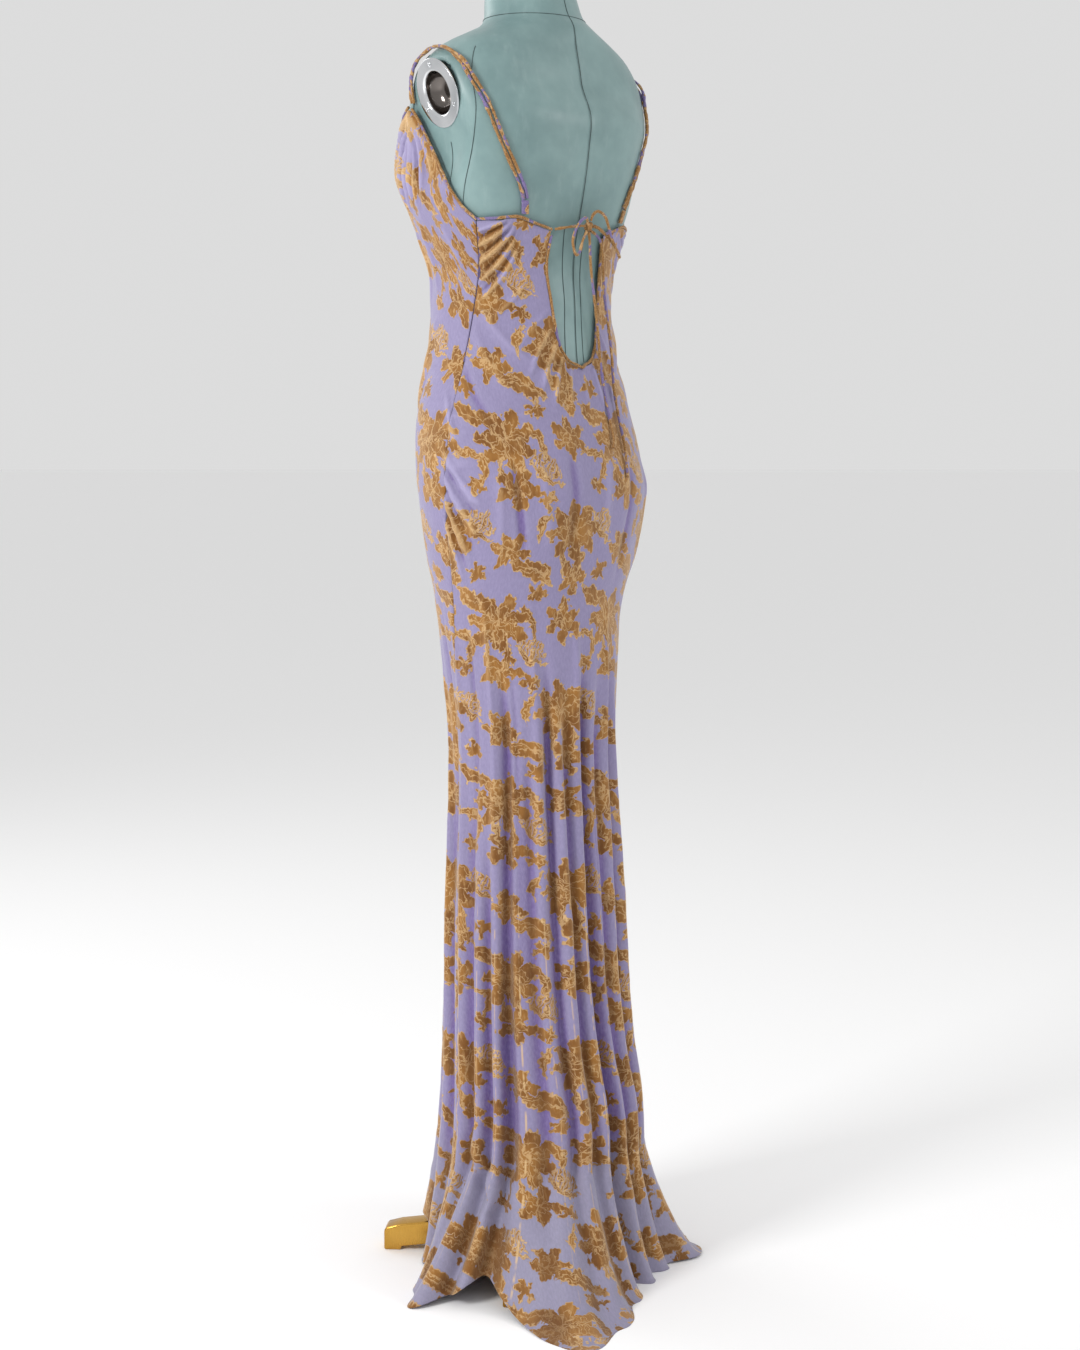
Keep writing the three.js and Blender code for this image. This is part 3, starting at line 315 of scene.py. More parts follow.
# Creases of the cloth on its form: from one place to another, height (a trough below 0), width and bow
CREASES = Table("t0 z0 t1 z1 height width bow", [
    # left wing, drawn from the side seam up to the strap
    [67, 1343, 40, 1360, 2.6, 4.0, 1],
    [68, 1324, 38, 1359, 3.2, 4.4, 3],
    [68, 1303, 36, 1357, 3.5, 4.6, 5],
    [68, 1280, 35, 1352, 3.2, 4.8, 7],
    [67, 1256, 36, 1338, 2.4, 5.4, 8],
    [66, 1334, 40, 1359, -2.2, 3.4, 2],
    [66, 1314, 38, 1357, -2.4, 3.6, 4],
    [66, 1292, 36, 1354, -2.4, 3.8, 6],
    [66, 1268, 36, 1346, -1.8, 4.2, 8],
    [58, 1236, 30, 1300, 1.6, 6.0, 6],
    # right wing
    [-66, 1347, -38, 1358, 2.0, 3.2, -1],
    [-67, 1331, -36, 1356, 2.6, 3.6, -3],
    [-67, 1313, -34, 1353, 2.5, 3.8, -5],
    [-67, 1293, -34, 1346, 2.0, 4.4, -6],
    [-66, 1270, -38, 1326, 1.4, 5.0, -7],
    [-64, 1322, -36, 1354, -1.3, 3.0, -4],
    # fan of pleats at the foot of the keyhole
    [17, 1232, 33, 1160, 2.2, 4.6, 5],
    [14, 1214, 26, 1142, 2.6, 4.6, 4],
    [11, 1198, 19, 1128, 2.4, 4.2, 3],
    [6, 1186, 10, 1120, 1.8, 4.2, 2],
    [-1, 1182, 0, 1124, 1.4, 4, 0],
    [-8, 1188, -11, 1122, 2.0, 4.4, -2],
    [-13, 1204, -22, 1138, 2.4, 4.8, -3],
    [-17, 1226, -31, 1162, 1.8, 5, -4],
    [20, 1248, 40, 1196, 1.4, 6, 5],
    [-21, 1250, -42, 1200, 1.2, 6, -5],
    # puckers along the left side seam
    [80, 1140, 62, 1122, 0.86, 7, 2],
    [82, 1122, 58, 1112, 1.17, 7, 2],
    [84, 1103, 61, 1098, 1.01, 6.4, 1],
    [85, 1088, 66, 1090, 1.25, 6.2, -1],
    [85, 1071, 58, 1060, 1.09, 7.6, 2],
    [86, 1054, 67, 1056, 1.33, 6.7, -1],
    [86, 1038, 64, 1026, 1.17, 6.7, 2],
    [87, 1019, 60, 1016, 1.4, 7, 1],
    [88, 1000, 68, 1006, 1.17, 6.2, -2],
    [88, 984, 66, 974, 1.25, 7, 2],
    [90, 962, 72, 962, 0.86, 7, 0],
    [80, 1130, 97, 1116, 0.86, 7, -2],
    [82, 1096, 101, 1084, 1.09, 7, -2],
    [84, 1062, 104, 1056, 1.09, 7, -1],
    [85, 1028, 100, 1030, 1.01, 7, 1],
    [86, 994, 102, 986, 0.94, 7, -1],
    [83, 1150, 74, 1080, 1.8, 5.4, 1],
    [84, 1080, 60, 1000, 2.3, 5.2, 3],
    [85, 1052, 64, 962, 2.5, 5, 2],
    [86, 1024, 70, 930, 2.5, 5, 2],
    [87, 996, 77, 906, 2.3, 4.8, 1],
    [85, 1066, 62, 981, -1.9, 3.8, 2],
    [86, 1038, 67, 946, -2, 3.8, 2],
    [87, 1010, 74, 918, -1.8, 3.8, 1],
    # puckers along the right side seam
    [-79, 1132, -60, 1117, 0.94, 7, -2],
    [-83, 1108, -64, 1104, 1.01, 7, 1],
    [-84, 1080, -60, 1070, 1.17, 7, -2],
    [-85, 1048, -66, 1048, 1.09, 7, 1],
    [-86, 1016, -63, 1006, 1.17, 7, -2],
    [-88, 982, -69, 980, 1.01, 7, 1],
    [-82, 1104, -100, 1092, 0.94, 7, 2],
    [-84, 1054, -103, 1048, 1.01, 7, 2],
    [-86, 1004, -101, 1000, 0.94, 7, 1],
    [-84, 1072, -62, 988, 2.2, 5.2, -3],
    [-85, 1040, -66, 952, 2.5, 5, -2],
    [-86, 1006, -74, 918, 2.3, 5, -1],
    [-85, 1056, -64, 970, -1.9, 3.8, -2],
    [-86, 1023, -70, 935, -1.8, 3.8, -2],
    # drag lines over the waist and hips
    [68, 1262, 24, 1172, 1.6, 10, 8],
    [68, 1226, 34, 1130, 1.3, 11, 8],
    [-68, 1258, -28, 1168, 1.5, 10, -8],
    [-68, 1220, -36, 1128, 1.2, 11, -8],
    [74, 1186, 46, 1090, -1.4, 9, 5],
    [44, 1066, 41, 940, -2.6, 6, 2],
    [52, 1052, 56, 930, 1.5, 9, -2],
    [31, 1075, 27, 925, 1.4, 10, 2],
    [14, 1080, 18, 915, -1.6, 9, -2],
    [-6, 1090, -2, 925, 1.6, 10, 1],
    [-24, 1070, -20, 900, -1.7, 8, 2],
    [-45, 1060, -50, 905, 1.5, 10, -2],
    [104, 1240, 138, 1120, 1.5, 11, -6],
    [108, 1180, 150, 1060, -1.5, 10, -6],
    [-104, 1236, -136, 1116, 1.5, 11, 6],
    [-110, 1176, -152, 1052, -1.4, 10, 6],
    [160, 1230, 166, 1080, 1.1, 9, 2],
    [192, 1210, 188, 1060, 1.1, 9, -2],
    # gathers of the left cup, from under the strap
    [116, 1492, 93, 1398, 2.6, 4.4, -4],
    [116, 1492, 100, 1378, 3.2, 4.6, -4],
    [116, 1492, 107, 1366, 2.6, 4.2, -2],
    [116, 1494, 114, 1372, 3.4, 4.8, 0],
    [116, 1494, 122, 1364, 3.0, 4.4, 2],
    [117, 1494, 130, 1370, 3.4, 5, 4],
    [118, 1494, 139, 1382, 2.8, 4.6, 6],
    [119, 1493, 148, 1392, 2.8, 5, 8],
    [121, 1492, 157, 1404, 2.0, 5, 8],
    [116, 1480, 104, 1372, -2.0, 3.4, -3],
    [117, 1480, 126, 1368, -2.2, 3.6, 3],
    [119, 1478, 144, 1390, -1.8, 4, 6],
    # gathers of the right cup
    [244, 1492, 266, 1400, 2.6, 4.6, 4],
    [244, 1492, 258, 1376, 3.2, 4.6, 3],
    [244, 1494, 250, 1366, 2.8, 4.4, 1],
    [244, 1494, 242, 1370, 3.2, 4.8, 0],
    [243, 1494, 233, 1364, 3.2, 4.8, -3],
    [242, 1494, 224, 1374, 2.8, 4.8, -5],
    [241, 1493, 214, 1388, 2.8, 5, -7],
    [239, 1492, 204, 1400, 2.0, 5, -8],
    [244, 1480, 254, 1372, -2.0, 3.6, 2],
    [243, 1480, 237, 1368, -2.2, 3.6, -2],
    # underbust, gathered into the waist
    [112, 1362, 104, 1262, 1.6, 7, 2],
    [126, 1352, 120, 1246, 1.9, 7, 1],
    [141, 1356, 138, 1240, 1.5, 8, 1],
    [157, 1362, 158, 1250, 1.8, 8, -1],
    [176, 1372, 178, 1262, 1.3, 8, 0],
    [196, 1366, 196, 1244, 1.7, 8, 1],
    [215, 1356, 220, 1238, 1.6, 8, -1],
    [232, 1352, 238, 1250, 1.8, 7, -1],
    [249, 1362, 256, 1262, 1.5, 7, -2],
    [96, 1380, 76, 1290, 1.4, 7, 3],
    # long soft folds of the skirt between the deeper ones
    [92, 900, 96, 430, 2.0, 9, 3],
    [80, 860, 84, 560, -2.2, 8, -2],
    [66, 900, 67, 420, 2.4, 8, 2],
    [52, 820, 51, 250, -2.2, 9, -3],
    [38, 880, 34, 520, 2.0, 8, 2],
    [24, 760, 17, 220, 2.4, 9, -2],
    [9, 880, 3, 480, 2.0, 8, 2],
    [-4, 700, -11, 200, -2.4, 9, 2],
    [-17, 880, -23, 470, 2.2, 8, -2],
    [-33, 780, -39, 240, 2.4, 9, 2],
    [-50, 880, -57, 430, -2.0, 9, 2],
    [-70, 860, -76, 380, 2.2, 9, -3],
    [-88, 900, -90, 500, 1.8, 9, 2],
    [106, 880, 104, 470, -2.0, 9, 2],
    [120, 820, 116, 300, 2.2, 9, -2],
    [139, 860, 142, 440, -2.2, 9, 2],
    [157, 790, 162, 280, 2.2, 9, -2],
    [174, 860, 177, 460, 2.0, 8, 2],
    [191, 800, 192, 250, -2.2, 9, -1],
    [207, 860, 207, 500, 2.0, 9, 2],
    [223, 790, 228, 330, 2.2, 9, -2],
    [241, 850, 250, 420, -2.0, 9, 2],
    # breaks near the floor
    [100, 250, 52, 96, 2.2, 9, 8],
    [90, 204, 56, 80, -1.8, 8, 6],
    [62, 160, 34, 64, 1.4, 10, 6],
    [10, 300, 26, 70, 1.3, 12, -5],
    [-8, 270, 6, 60, -1.3, 10, -4],
    [-28, 290, -12, 80, 1.2, 12, -5],
    [-70, 290, -52, 80, 1.3, 12, -6],
    [-86, 240, -70, 70, -1.2, 10, -4],
    [150, 290, 170, 80, 1.2, 12, 5],
    [212, 290, 194, 80, 1.2, 12, -5],
    [250, 230, 236, 110, -3.0, 10, 4],
])
MM_PER_DEGREE = 2.35
CREASE_DEPTH = 1.7
CREASE_WIDTH = 0.72


def plan(x: Array, y: Array, z: Array) -> Array:
    """Stacks millimetres about the pole into one array of points."""
    x, y, z = np.broadcast_arrays(x, y, z)
    return np.stack([x, y, z], axis=-1)


def section(t: Array, half_width: Array, half_depth: Array, middle: Array,
            square: Array) -> tuple[Array, Array]:
    """Returns x and y on a section, rounder or squarer with its exponent."""
    angle = np.radians(t)
    power = 2 / square
    across, along = np.sin(angle), np.cos(angle)
    x = half_width * np.sign(across) * np.abs(across) ** power
    y = middle + half_depth * np.sign(along) * np.abs(along) ** power
    return x, y


class ArmPlate:
    """Where the arm plates lie, and the flat facet of the shoulder round each."""

    centre: Point = (158, 3, 1509)
    normal: Point = (0.937, -0.165, -0.309)
    forward, downward = 0.1763, 0.33
    flat_radius, fade, fade_depth = 50, 95, 64
    rounding, slack = 14, 1.6

    @classmethod
    def limit(cls, y: Array, z: Array) -> Array:
        """Returns how far from the middle the shoulder may reach."""
        distance = np.hypot(y - cls.centre[1], z - cls.centre[2])
        fade = np.maximum(0, (distance - cls.flat_radius) / cls.fade) ** 2 * cls.fade_depth
        return cls.centre[0] + cls.forward * (y - cls.centre[1]) + cls.downward * (z - cls.centre[2]) + fade


def form_surface(t: Array, z: Array, ease: Array = 0) -> Array:
    """Surface of the form, or of cloth that lies on it.

    Args:
        t: Angle round the pole in degrees.
        z: Height in millimetres.
        ease: How far out, in millimetres.

    Returns:
        Points in millimetres about the pole.
    """
    t, z = np.asarray(t, float), np.asarray(z, float)
    rings = {name: BODY_RINGS.read(name, z) for name in BODY_RINGS.names[1:]}
    width, depth = rings["half_width"] + ease, rings["half_depth"] + ease
    x, y = section(t, width, depth, rings["middle"], rings["square"])
    facing = np.cos(np.radians(t))
    for swell_x, swell_z, spread, rise, height, side in BODY_SWELLS.data:
        share = np.clip(facing * side * SWELL_FACING, 0, 1)
        across, up = (np.abs(x) - swell_x) / spread, (z - swell_z) / rise
        y = y + side * share * height * np.exp(-across * across - up * up)
    limit = ArmPlate.limit(y, z) + ease * ArmPlate.slack
    near = np.maximum(ArmPlate.rounding - np.abs(np.abs(x) - limit), 0) / ArmPlate.rounding
    x = np.sign(x) * (np.minimum(np.abs(x), limit) - near * near * ArmPlate.rounding / 4)
    return plan(x, y, z)


def form_normal(t: Array, z: Array) -> Array:
    """Outward normal of the form."""
    across = form_surface(t + 0.5, z) - form_surface(t - 0.5, z)
    up = form_surface(t, z + 1.0) - form_surface(t, z - 1.0)
    return unit(np.cross(up, across))


def unit(vectors: Array) -> Array:
    """Returns the vectors at a length of 1."""
    return vectors / np.maximum(np.linalg.norm(vectors, axis=-1, keepdims=True), 1e-12)


def hull_surface(t: Array, z: Array) -> Array:
    """Outer hull of the cloth before its folds, in millimetres about the pole."""
    t, z = np.broadcast_arrays(np.asarray(t, float), np.asarray(z, float))
    rings = {name: SKIRT_RINGS.read(name, z) for name in SKIRT_RINGS.names[1:]}
    x, y = section(t, rings["half_width"], rings["half_depth"], rings["middle"], np.full_like(z, 2.0))
    skirt = plan(x, y, z)
    share = smoothstep(z, *SKIRT_BLEND)[..., None]
    return skirt + (form_surface(t, z, AIR + WALL) - skirt) * share


def degrees_per_mm(t: Array, z: Array) -> Array:
    """Degrees that a millimetre spans round the hull."""
    return 1 / np.linalg.norm(hull_surface(t - 0.5, z) - hull_surface(t + 0.5, z), axis=-1)


def seam_angle(z: Array, side: int, panel_sign: int) -> Array:
    """Angle of a panel's edge at a side seam; the left seam opens for the zip above the keyhole's foot."""
    t = SIDE_SEAM.read("t", z)
    gap = np.where((side > 0) & (z > KEYHOLE_FOOT + 2), ZIP_GAP, SEAM_GAP)
    return side * (t + panel_sign * gap / 2 * degrees_per_mm(side * t, z))


def crease_relief(t: Array, z: Array) -> Array:
    """Height of the creases over the plain cloth, in millimetres."""
    total = np.zeros(np.broadcast(t, z).shape)
    for t0, z0, t1, z1, height, width, bow in CREASES.data:
        turn = (t - t0 + 180) % 360 - 180
        span = (t1 - t0 + 180) % 360 - 180
        run, rise = span * MM_PER_DEGREE, z1 - z0
        length = math.hypot(run, rise)
        a, b = turn * MM_PER_DEGREE, z - z0
        along = (a * run + b * rise) / length**2
        across = (a * rise - b * run) / length
        across = across + bow * np.sin(np.pi * np.clip(along, 0, 1))
        fade = smoothstep(along, -0.08, 0.22) * (1 - smoothstep(along, 0.62, 1.08))
        wide = CREASE_WIDTH * width * (0.8 + 0.5 * np.clip(along, 0, 1))
        total += CREASE_DEPTH * height * fade * np.exp(-(across / wide) ** 2)
    return total


def crumple(points: Array, size: float, height: float, seed: float) -> Array:
    """Low uneven relief of the cloth from noise.

    Args:
        points: Points in millimetres.
        size: Size of the waves in millimetres.
        height: Largest height in millimetres.
        seed: Shift of the noise.

    Returns:
        Heights in millimetres.
    """
    flat = points.reshape(-1, 3) / size + seed
    values = np.array([noise.noise(Vector(row)) for row in flat])
    return values.reshape(points.shape[:-1]) * height


class Panel:
    """One cut panel of the dress, as a surface over u across and s up.

    s below 0 is the hem, 0 to 1 the skirt up to the keyhole's foot, and 1 to 2 the bodice.
    """

    def __init__(self, folds: Table, folded: bool = True) -> None:
        """Keeps the panel's folds.

        Args:
            folds: The folds.
            folded: Whether the folds draw the cloth in, or it lies smooth as for its map.
        """
        self.folds = folds
        self.folded = folded

    def seam(self, z: Array, end: int) -> Array:
        """Angle of the panel's edge at its start or end."""
        raise NotImplementedError

    def top(self, u: Array, v: Array) -> tuple[Array, Array, Array]:
        """Angle, height and points of the bodice."""
        raise NotImplementedError

    def column_angle(self, u: Array, z: Array) -> Array:
        """Angle of a column: even on the body, drawn to the folds below the knee blend."""
        start, end = self.seam(z, 0), self.seam(z, 1)
        even = start + (end - start) * u
        low = 1 - smoothstep(z, 0, KNEE)
        knees, hems = self.folds.column("knee"), self.folds.column("hem")
        count = len(knees)
        place = np.clip(u * count + 0.5, 0.5, count + 0.5)
        index = np.minimum(np.floor(place), count).astype(int)
        first = np.where(index == 0, 0.5, index)
        last = np.where(index == count, index + 0.5, index + 1)

        def stop(number: Array) -> Array:
            """Angle of a stop: the panel's edges or a fold's valley."""
            valley = np.clip(number - 1, 0, count - 1)
            fold = knees[valley] + (hems[valley] - knees[valley]) * low
            return np.where(number == 0, start, np.where(number == count + 1, end, fold))

        share = (place - first) / (last - first)
        folded = stop(index) + (stop(index + 1) - stop(index)) * share
        gathered = 1 - smoothstep(z, *FOLD_GATHER)
        return even + (folded - even) * gathered

    def fold_depth(self, u: Array, z: Array) -> Array:
        """How far a fold draws the cloth in."""
        if not self.folded:
            return np.zeros(np.broadcast(u, z).shape)
        count = len(self.folds.data)
        place = np.clip(u * count, 0, count - 1e-9)
        index = np.floor(place).astype(int)
        top = self.folds.column("top")[index]
        grown = 1 - smoothstep((z - (top - FOLD_GROWTH)) / FOLD_GROWTH, 0, 1)
        low = 1 - smoothstep(z, 0, KNEE)
        knee, hem = self.folds.column("knee_depth")[index], self.folds.column("hem_depth")[index]
        wave = np.sin(np.pi * (place % 1)) ** 2
        return grown * (knee + (hem - knee) * low) * wave**FOLD_SHARPNESS

    def skirt(self, u: Array, z: Array) -> tuple[Array, Array]:
        """Angle and points of the skirt."""
        t = self.column_angle(u, z)
        point = hull_surface(t, z)
        middle = SKIRT_RINGS.read("middle", z)
        radius = np.hypot(point[..., 0], point[..., 1] - middle)
        share = (radius - self.fold_depth(u, z)) / radius
        return t, plan(point[..., 0] * share, middle + (point[..., 1] - middle) * share, z)

    def hem(self, u: Array, q: Array) -> tuple[Array, Array]:
        """Angle and points of the hem rows, from the hem roll out over the floor."""
        roll = np.full(np.broadcast(u, q).shape, HEM_ROLL)
        above = self.skirt(u, roll)[1]
        t = self.column_angle(u, roll * 0)
        turn = np.where(t > 180, t - 360, t)
        reach = HEM.read("reach", turn) - self.fold_depth(u, roll * 0)
        floor = plan(reach * np.sin(np.radians(t)), reach * np.cos(np.radians(t)), roll * 0)
        point = above + (floor - above) * (q**HEM_SLOPE)[..., None]
        lift, settle = HEM.read("lift", turn), HEM.read("settle", turn)
        point[..., 2] = lift + (HEM_ROLL - lift) * (1 - q) ** settle
        return t, point

    def surface(self, u: Array, s: Array) -> tuple[Array, Array]:
        """Surface of the panel.

        Args:
            u: Place across.
            s: Place up.

        Returns:
            Angles, and points in millimetres about the pole.
        """
        u, s = np.broadcast_arrays(np.asarray(u, float), np.asarray(s, float))
        t_hem, hem = self.hem(u, np.clip(-s, 0, 1))
        z_skirt = HEM_ROLL + (KEYHOLE_FOOT - HEM_ROLL) * np.clip(s, 0, 1)
        t_skirt, skirt = self.skirt(u, z_skirt)
        t_top, _, top = self.top(u, np.clip(s - 1, 0, 1))
        t = np.where(s < 0, t_hem, np.where(s <= 1, t_skirt, t_top))
        points = np.where((s < 0)[..., None], hem, np.where((s <= 1)[..., None], skirt, top))
        return t, points


class BackPanel(Panel):
    """The back, slit above the keyhole's foot into two wings."""

    def __init__(self, wing: int, folded: bool = True) -> None:
        """Keeps the wing: 1 for the left, -1 for the right."""
        super().__init__(BACK_FOLDS, folded)
        self.wing = wing

    def seam(self, z: Array, end: int) -> Array:
        """Angle of the panel's edge at the right (0) or the left (1) seam."""
        return seam_angle(z, 1 if end else -1, -1)

    def top(self, u: Array, v: Array) -> tuple[Array, Array, Array]:
        """Angle, height and points of a wing."""
        w = np.abs(2 * u - 1)
        z = KEYHOLE_FOOT + (BACK_TOP.read("z", w) - KEYHOLE_FOOT) * v
        ratio = KEYHOLE.read("half_width", z) / BODY_RINGS.read("half_width", z)
        edge = np.degrees(np.arcsin(np.maximum(ratio, 0) ** (BODY_RINGS.read("square", z) / 2)))
        side = np.where(u < 0.5, -1, np.where(u > 0.5, 1, self.wing))
        left, right = seam_angle(z, 1, -1), -seam_angle(z, -1, -1)
        seam = np.where(side > 0, left, right)
        t = side * (edge + (seam - edge) * w)
        return t, z, form_surface(t, z, AIR + WALL + 0.6)


class FrontPanel(Panel):
    """The front, with its two gathered cups."""

    slack_height, slack_spread, slack_depth = 1345, 48, 6

    def __init__(self, folded: bool = True) -> None:
        """Keeps the front's folds."""
        super().__init__(FRONT_FOLDS, folded)

    def seam(self, z: Array, end: int) -> Array:
        """Angle of the panel's edge at the left (0) or the right (1) seam."""
        return 360 + seam_angle(z, -1, 1) if end else seam_angle(z, 1, 1)

    def top(self, u: Array, v: Array) -> tuple[Array, Array, Array]:
        """Angle, height and points of the front bodice."""
        w = np.where(u > 0.5, 1 - u, u)
        z = KEYHOLE_FOOT + (FRONT_TOP.read("z", w) - KEYHOLE_FOOT) * v
        start, end = self.seam(z, 0), self.seam(z, 1)
        t = start + (end - start) * u
        below = (z - self.slack_height) / self.slack_spread
        slack = self.slack_depth * np.exp(-below * below) * np.sin(np.pi * u) ** 2 * smoothstep(v, 0, 0.2)
        return t, z, form_surface(t, z, AIR + WALL + 0.6 + slack)


def grid_normals(points: Array) -> Array:
    """Outward normals of a grid of points, rows upwards and columns to the wearer's left or on round."""
    up = np.gradient(points, axis=0)
    across = np.gradient(points, axis=1)
    return unit(np.cross(up, across))


def to_frame(points: Array) -> Array:
    """Millimetres about the pole to metres in the part's frame."""
    return points * MM + AXIS


class Nodes:
    """Adds and links the nodes of one material."""

    def __init__(self, name: str) -> None:
        """Makes the material with its shader.

        Args:
            name: Name of the material.
        """
        self.material = bpy.data.materials.new(name)
        self.material.use_nodes = True
        self.tree = self.material.node_tree
        self.shader = self.tree.nodes["Principled BSDF"]

    def feed(self, socket: bpy.types.NodeSocket, value: object) -> None:
        """Links a socket or sets its value."""
        if isinstance(value, bpy.types.NodeSocket):
            self.tree.links.new(value, socket)
        elif value is not None:
            socket.default_value = value

    def add(self, kind: str, inputs: Iterable[object] = (), **settings: object) -> bpy.types.Node:
        """Adds a node.

        Args:
            kind: The node's type.
            inputs: Values or sockets for its inputs in order. None leaves one as it is.
            **settings: The node's own options.

        Returns:
            The node.
        """
        node = self.tree.nodes.new(kind)
        for name, value in settings.items():
            setattr(node, name, value)
        for socket, value in zip(node.inputs, inputs):
            self.feed(socket, value)
        return node

    def math(self, operation: str, *values: object) -> Socket:
        """Adds a Math node and returns its result."""
        return self.add("ShaderNodeMath", values, operation=operation).outputs[0]

    def vector(self, operation: str, *values: object) -> Socket:
        """Adds a Vector Math node and returns its vector."""
        return self.add("ShaderNodeVectorMath", values, operation=operation).outputs[0]

    def noise(self, where: object, scale: float, detail: float = 2.0, rough: float = 0.5) -> Socket:
        """Adds a noise texture and returns its number."""
        return self.noise_node(where, scale, detail, rough).outputs[0]

    def noise_node(self, where: object, scale: float, detail: float, rough: float) -> bpy.types.Node:
        """Adds a noise texture."""
        node = self.add("ShaderNodeTexNoise")
        self.feed(node.inputs["Vector"], where)
        node.inputs["Scale"].default_value = scale
        node.inputs["Detail"].default_value = detail
        node.inputs["Roughness"].default_value = rough
        return node

    def times(self, first: object, second: object) -> Socket:
        """Multiplies two numbers."""
        return self.math("MULTIPLY", first, second)

    def minus(self, first: object, second: object) -> Socket:
        """Takes the second number from the first."""
        return self.math("SUBTRACT", first, second)

    def size(self, value: object) -> Socket:
        """Drops the sign of a number."""
        return self.math("ABSOLUTE", value)

    def place(self) -> Socket:
        """Returns the object's own coordinates."""
        return self.add("ShaderNodeTexCoord").outputs["Object"]

    def mark(self, name: str) -> Socket:
        """Returns a number kept on the mesh."""
        return self.add("ShaderNodeAttribute", attribute_name=name).outputs["Fac"]

    def ramp(self, value: object, low: float, high: float, start: float = 0.0, end: float = 1.0) -> Socket:
        """Maps low to start and high to end, clamped and smooth."""
        node = self.add("ShaderNodeMapRange", (value, low, high, start, end), interpolation_type="SMOOTHSTEP")
        return node.outputs[0]

    def line(self, distance: object, half: float, fade: float) -> Socket:
        """Returns 1 within half of a line and 0 beyond fade."""
        return self.minus(1.0, self.ramp(distance, half, fade))

    def tint(self, share: object, strength: float, base: object, over: object) -> Socket:
        """Lays a colour over another by a share of a strength."""
        return self.mix(self.times(share, strength), base, over)

    def mix(self, share: object, first: object, second: object) -> Socket:
        """Mixes two colours."""
        node = self.add("ShaderNodeMix", data_type="RGBA")
        self.feed(node.inputs[0], share)
        self.feed(node.inputs[6], first)
        self.feed(node.inputs[7], second)
        return node.outputs[2]

    def bump(self, height: object, distance: float, strength: float, below: object = None) -> Socket:
        """Adds a bump of a height in shares of a distance, over another normal."""
        node = self.add("ShaderNodeBump")
        node.inputs["Strength"].default_value = strength
        node.inputs["Distance"].default_value = distance
        self.feed(node.inputs["Height"], height)
        self.feed(node.inputs["Normal"], below)
        return node.outputs[0]

    def finish(self, color: object, roughness: object, normal: object = None, **constants: float) -> Finish:
        """Feeds the shader.

        Args:
            color: Base colour.
            roughness: Roughness.
            normal: Normal with its bumps.
            **constants: Numbers set on the shader's own sockets, with _ for each space.

        Returns:
            The material.
        """
        self.feed(self.shader.inputs["Base Color"], color)
        self.feed(self.shader.inputs["Roughness"], roughness)
        self.feed(self.shader.inputs["Normal"], normal)
        for name, value in constants.items():
            self.shader.inputs[name.replace("_", " ")].default_value = value
        return self.material


def rgb(red: int, green: int, blue: int) -> Color:
    """A screen colour as the linear one that shaders use."""
    def linear(value: int) -> float:
        """One channel."""
        share = value / 255
        return share / 12.92 if share <= 0.04045 else ((share + 0.055) / 1.055) ** 2.4
    return linear(red), linear(green), linear(blue), 1.0


class Motif(Enum):
    """Kinds of motif in the velvet pattern."""

    BLOSSOM = "blossom"
    FLOWER = "flower"
    SPRIG = "sprig"
    BUD = "bud"
    LEAF = "leaf"


# Motifs of one repeat: place, half length, half width, turn, lobes and how deep they are cut, bend of a leaf
REPEAT = (170.0, 228.0)
TIGHTEN = 0.912
MOTIFS: list[tuple[Motif, float, float, float, float, float, float, float, float]] = [
    (Motif.BLOSSOM, 44, 70, 43, 38, 15, 8, 0.42, 0),
    (Motif.BLOSSOM, 138, 194, 42, 38, -20, 7, 0.46, 0),
    (Motif.FLOWER, 134, 128, 31, 27, 10, 5, 0.56, 0),
    (Motif.FLOWER, 44, 196, 29, 27, 60, 6, 0.54, 0),
    (Motif.FLOWER, 136, 44, 28, 24, 35, 6, 0.50, 0),
    (Motif.FLOWER, 38, 6, 27, 21, 75, 5, 0.52, 0),
    (Motif.SPRIG, 92, 114, 15, 13, 15, 5, 0.56, 0),
    (Motif.SPRIG, 178, 14, 15, 13, 40, 5, 0.56, 0),
    (Motif.SPRIG, 88, 236, 16, 13, 5, 5, 0.56, 0),
    (Motif.SPRIG, 4, 134, 14, 13, 30, 5, 0.56, 0),
    (Motif.BUD, 88, 160, 24, 13, 24, 0, 0, 0.25),
    (Motif.BUD, 180, 84, 23, 12, 32, 0, 0, 0.25),
    (Motif.LEAF, 93, 142, 26, 5, 30, 0, 0, -0.9),
    (Motif.LEAF, 185, 66, 25, 5, 38, 0, 0, -0.9),
    (Motif.LEAF, 98, 18, 34, 13, 22, 0, 0, 0.3),
    (Motif.LEAF, 178, 226, 30, 11, 20, 0, 0, -0.4),
    (Motif.LEAF, 92, 196, 24, 7, 64, 0, 0, 0.6),
    (Motif.LEAF, 98, 78, 22, 6, 108, 0, 0, -0.5),
    (Motif.LEAF, 6, 176, 24, 6, 8, 0, 0, 0.5),
    (Motif.LEAF, 176, 158, 20, 6, 100, 0, 0, 0.5),
    # drips under the blossoms and flowers
    (Motif.LEAF, 28, 24, 21, 4.6, 94, 0, 0, 0.4),
    (Motif.LEAF, 58, 28, 23, 4.4, 86, 0, 0, -0.4),
    (Motif.LEAF, 124, 150, 24, 4.6, 95, 0, 0, 0.4),
    (Motif.LEAF, 152, 152, 20, 4.2, 84, 0, 0, -0.4),
]
# How far out the line of the inner petals lies
INNER_PETALS = {Motif.BLOSSOM: 0.6, Motif.FLOWER: 0.5, Motif.SPRIG: 0}


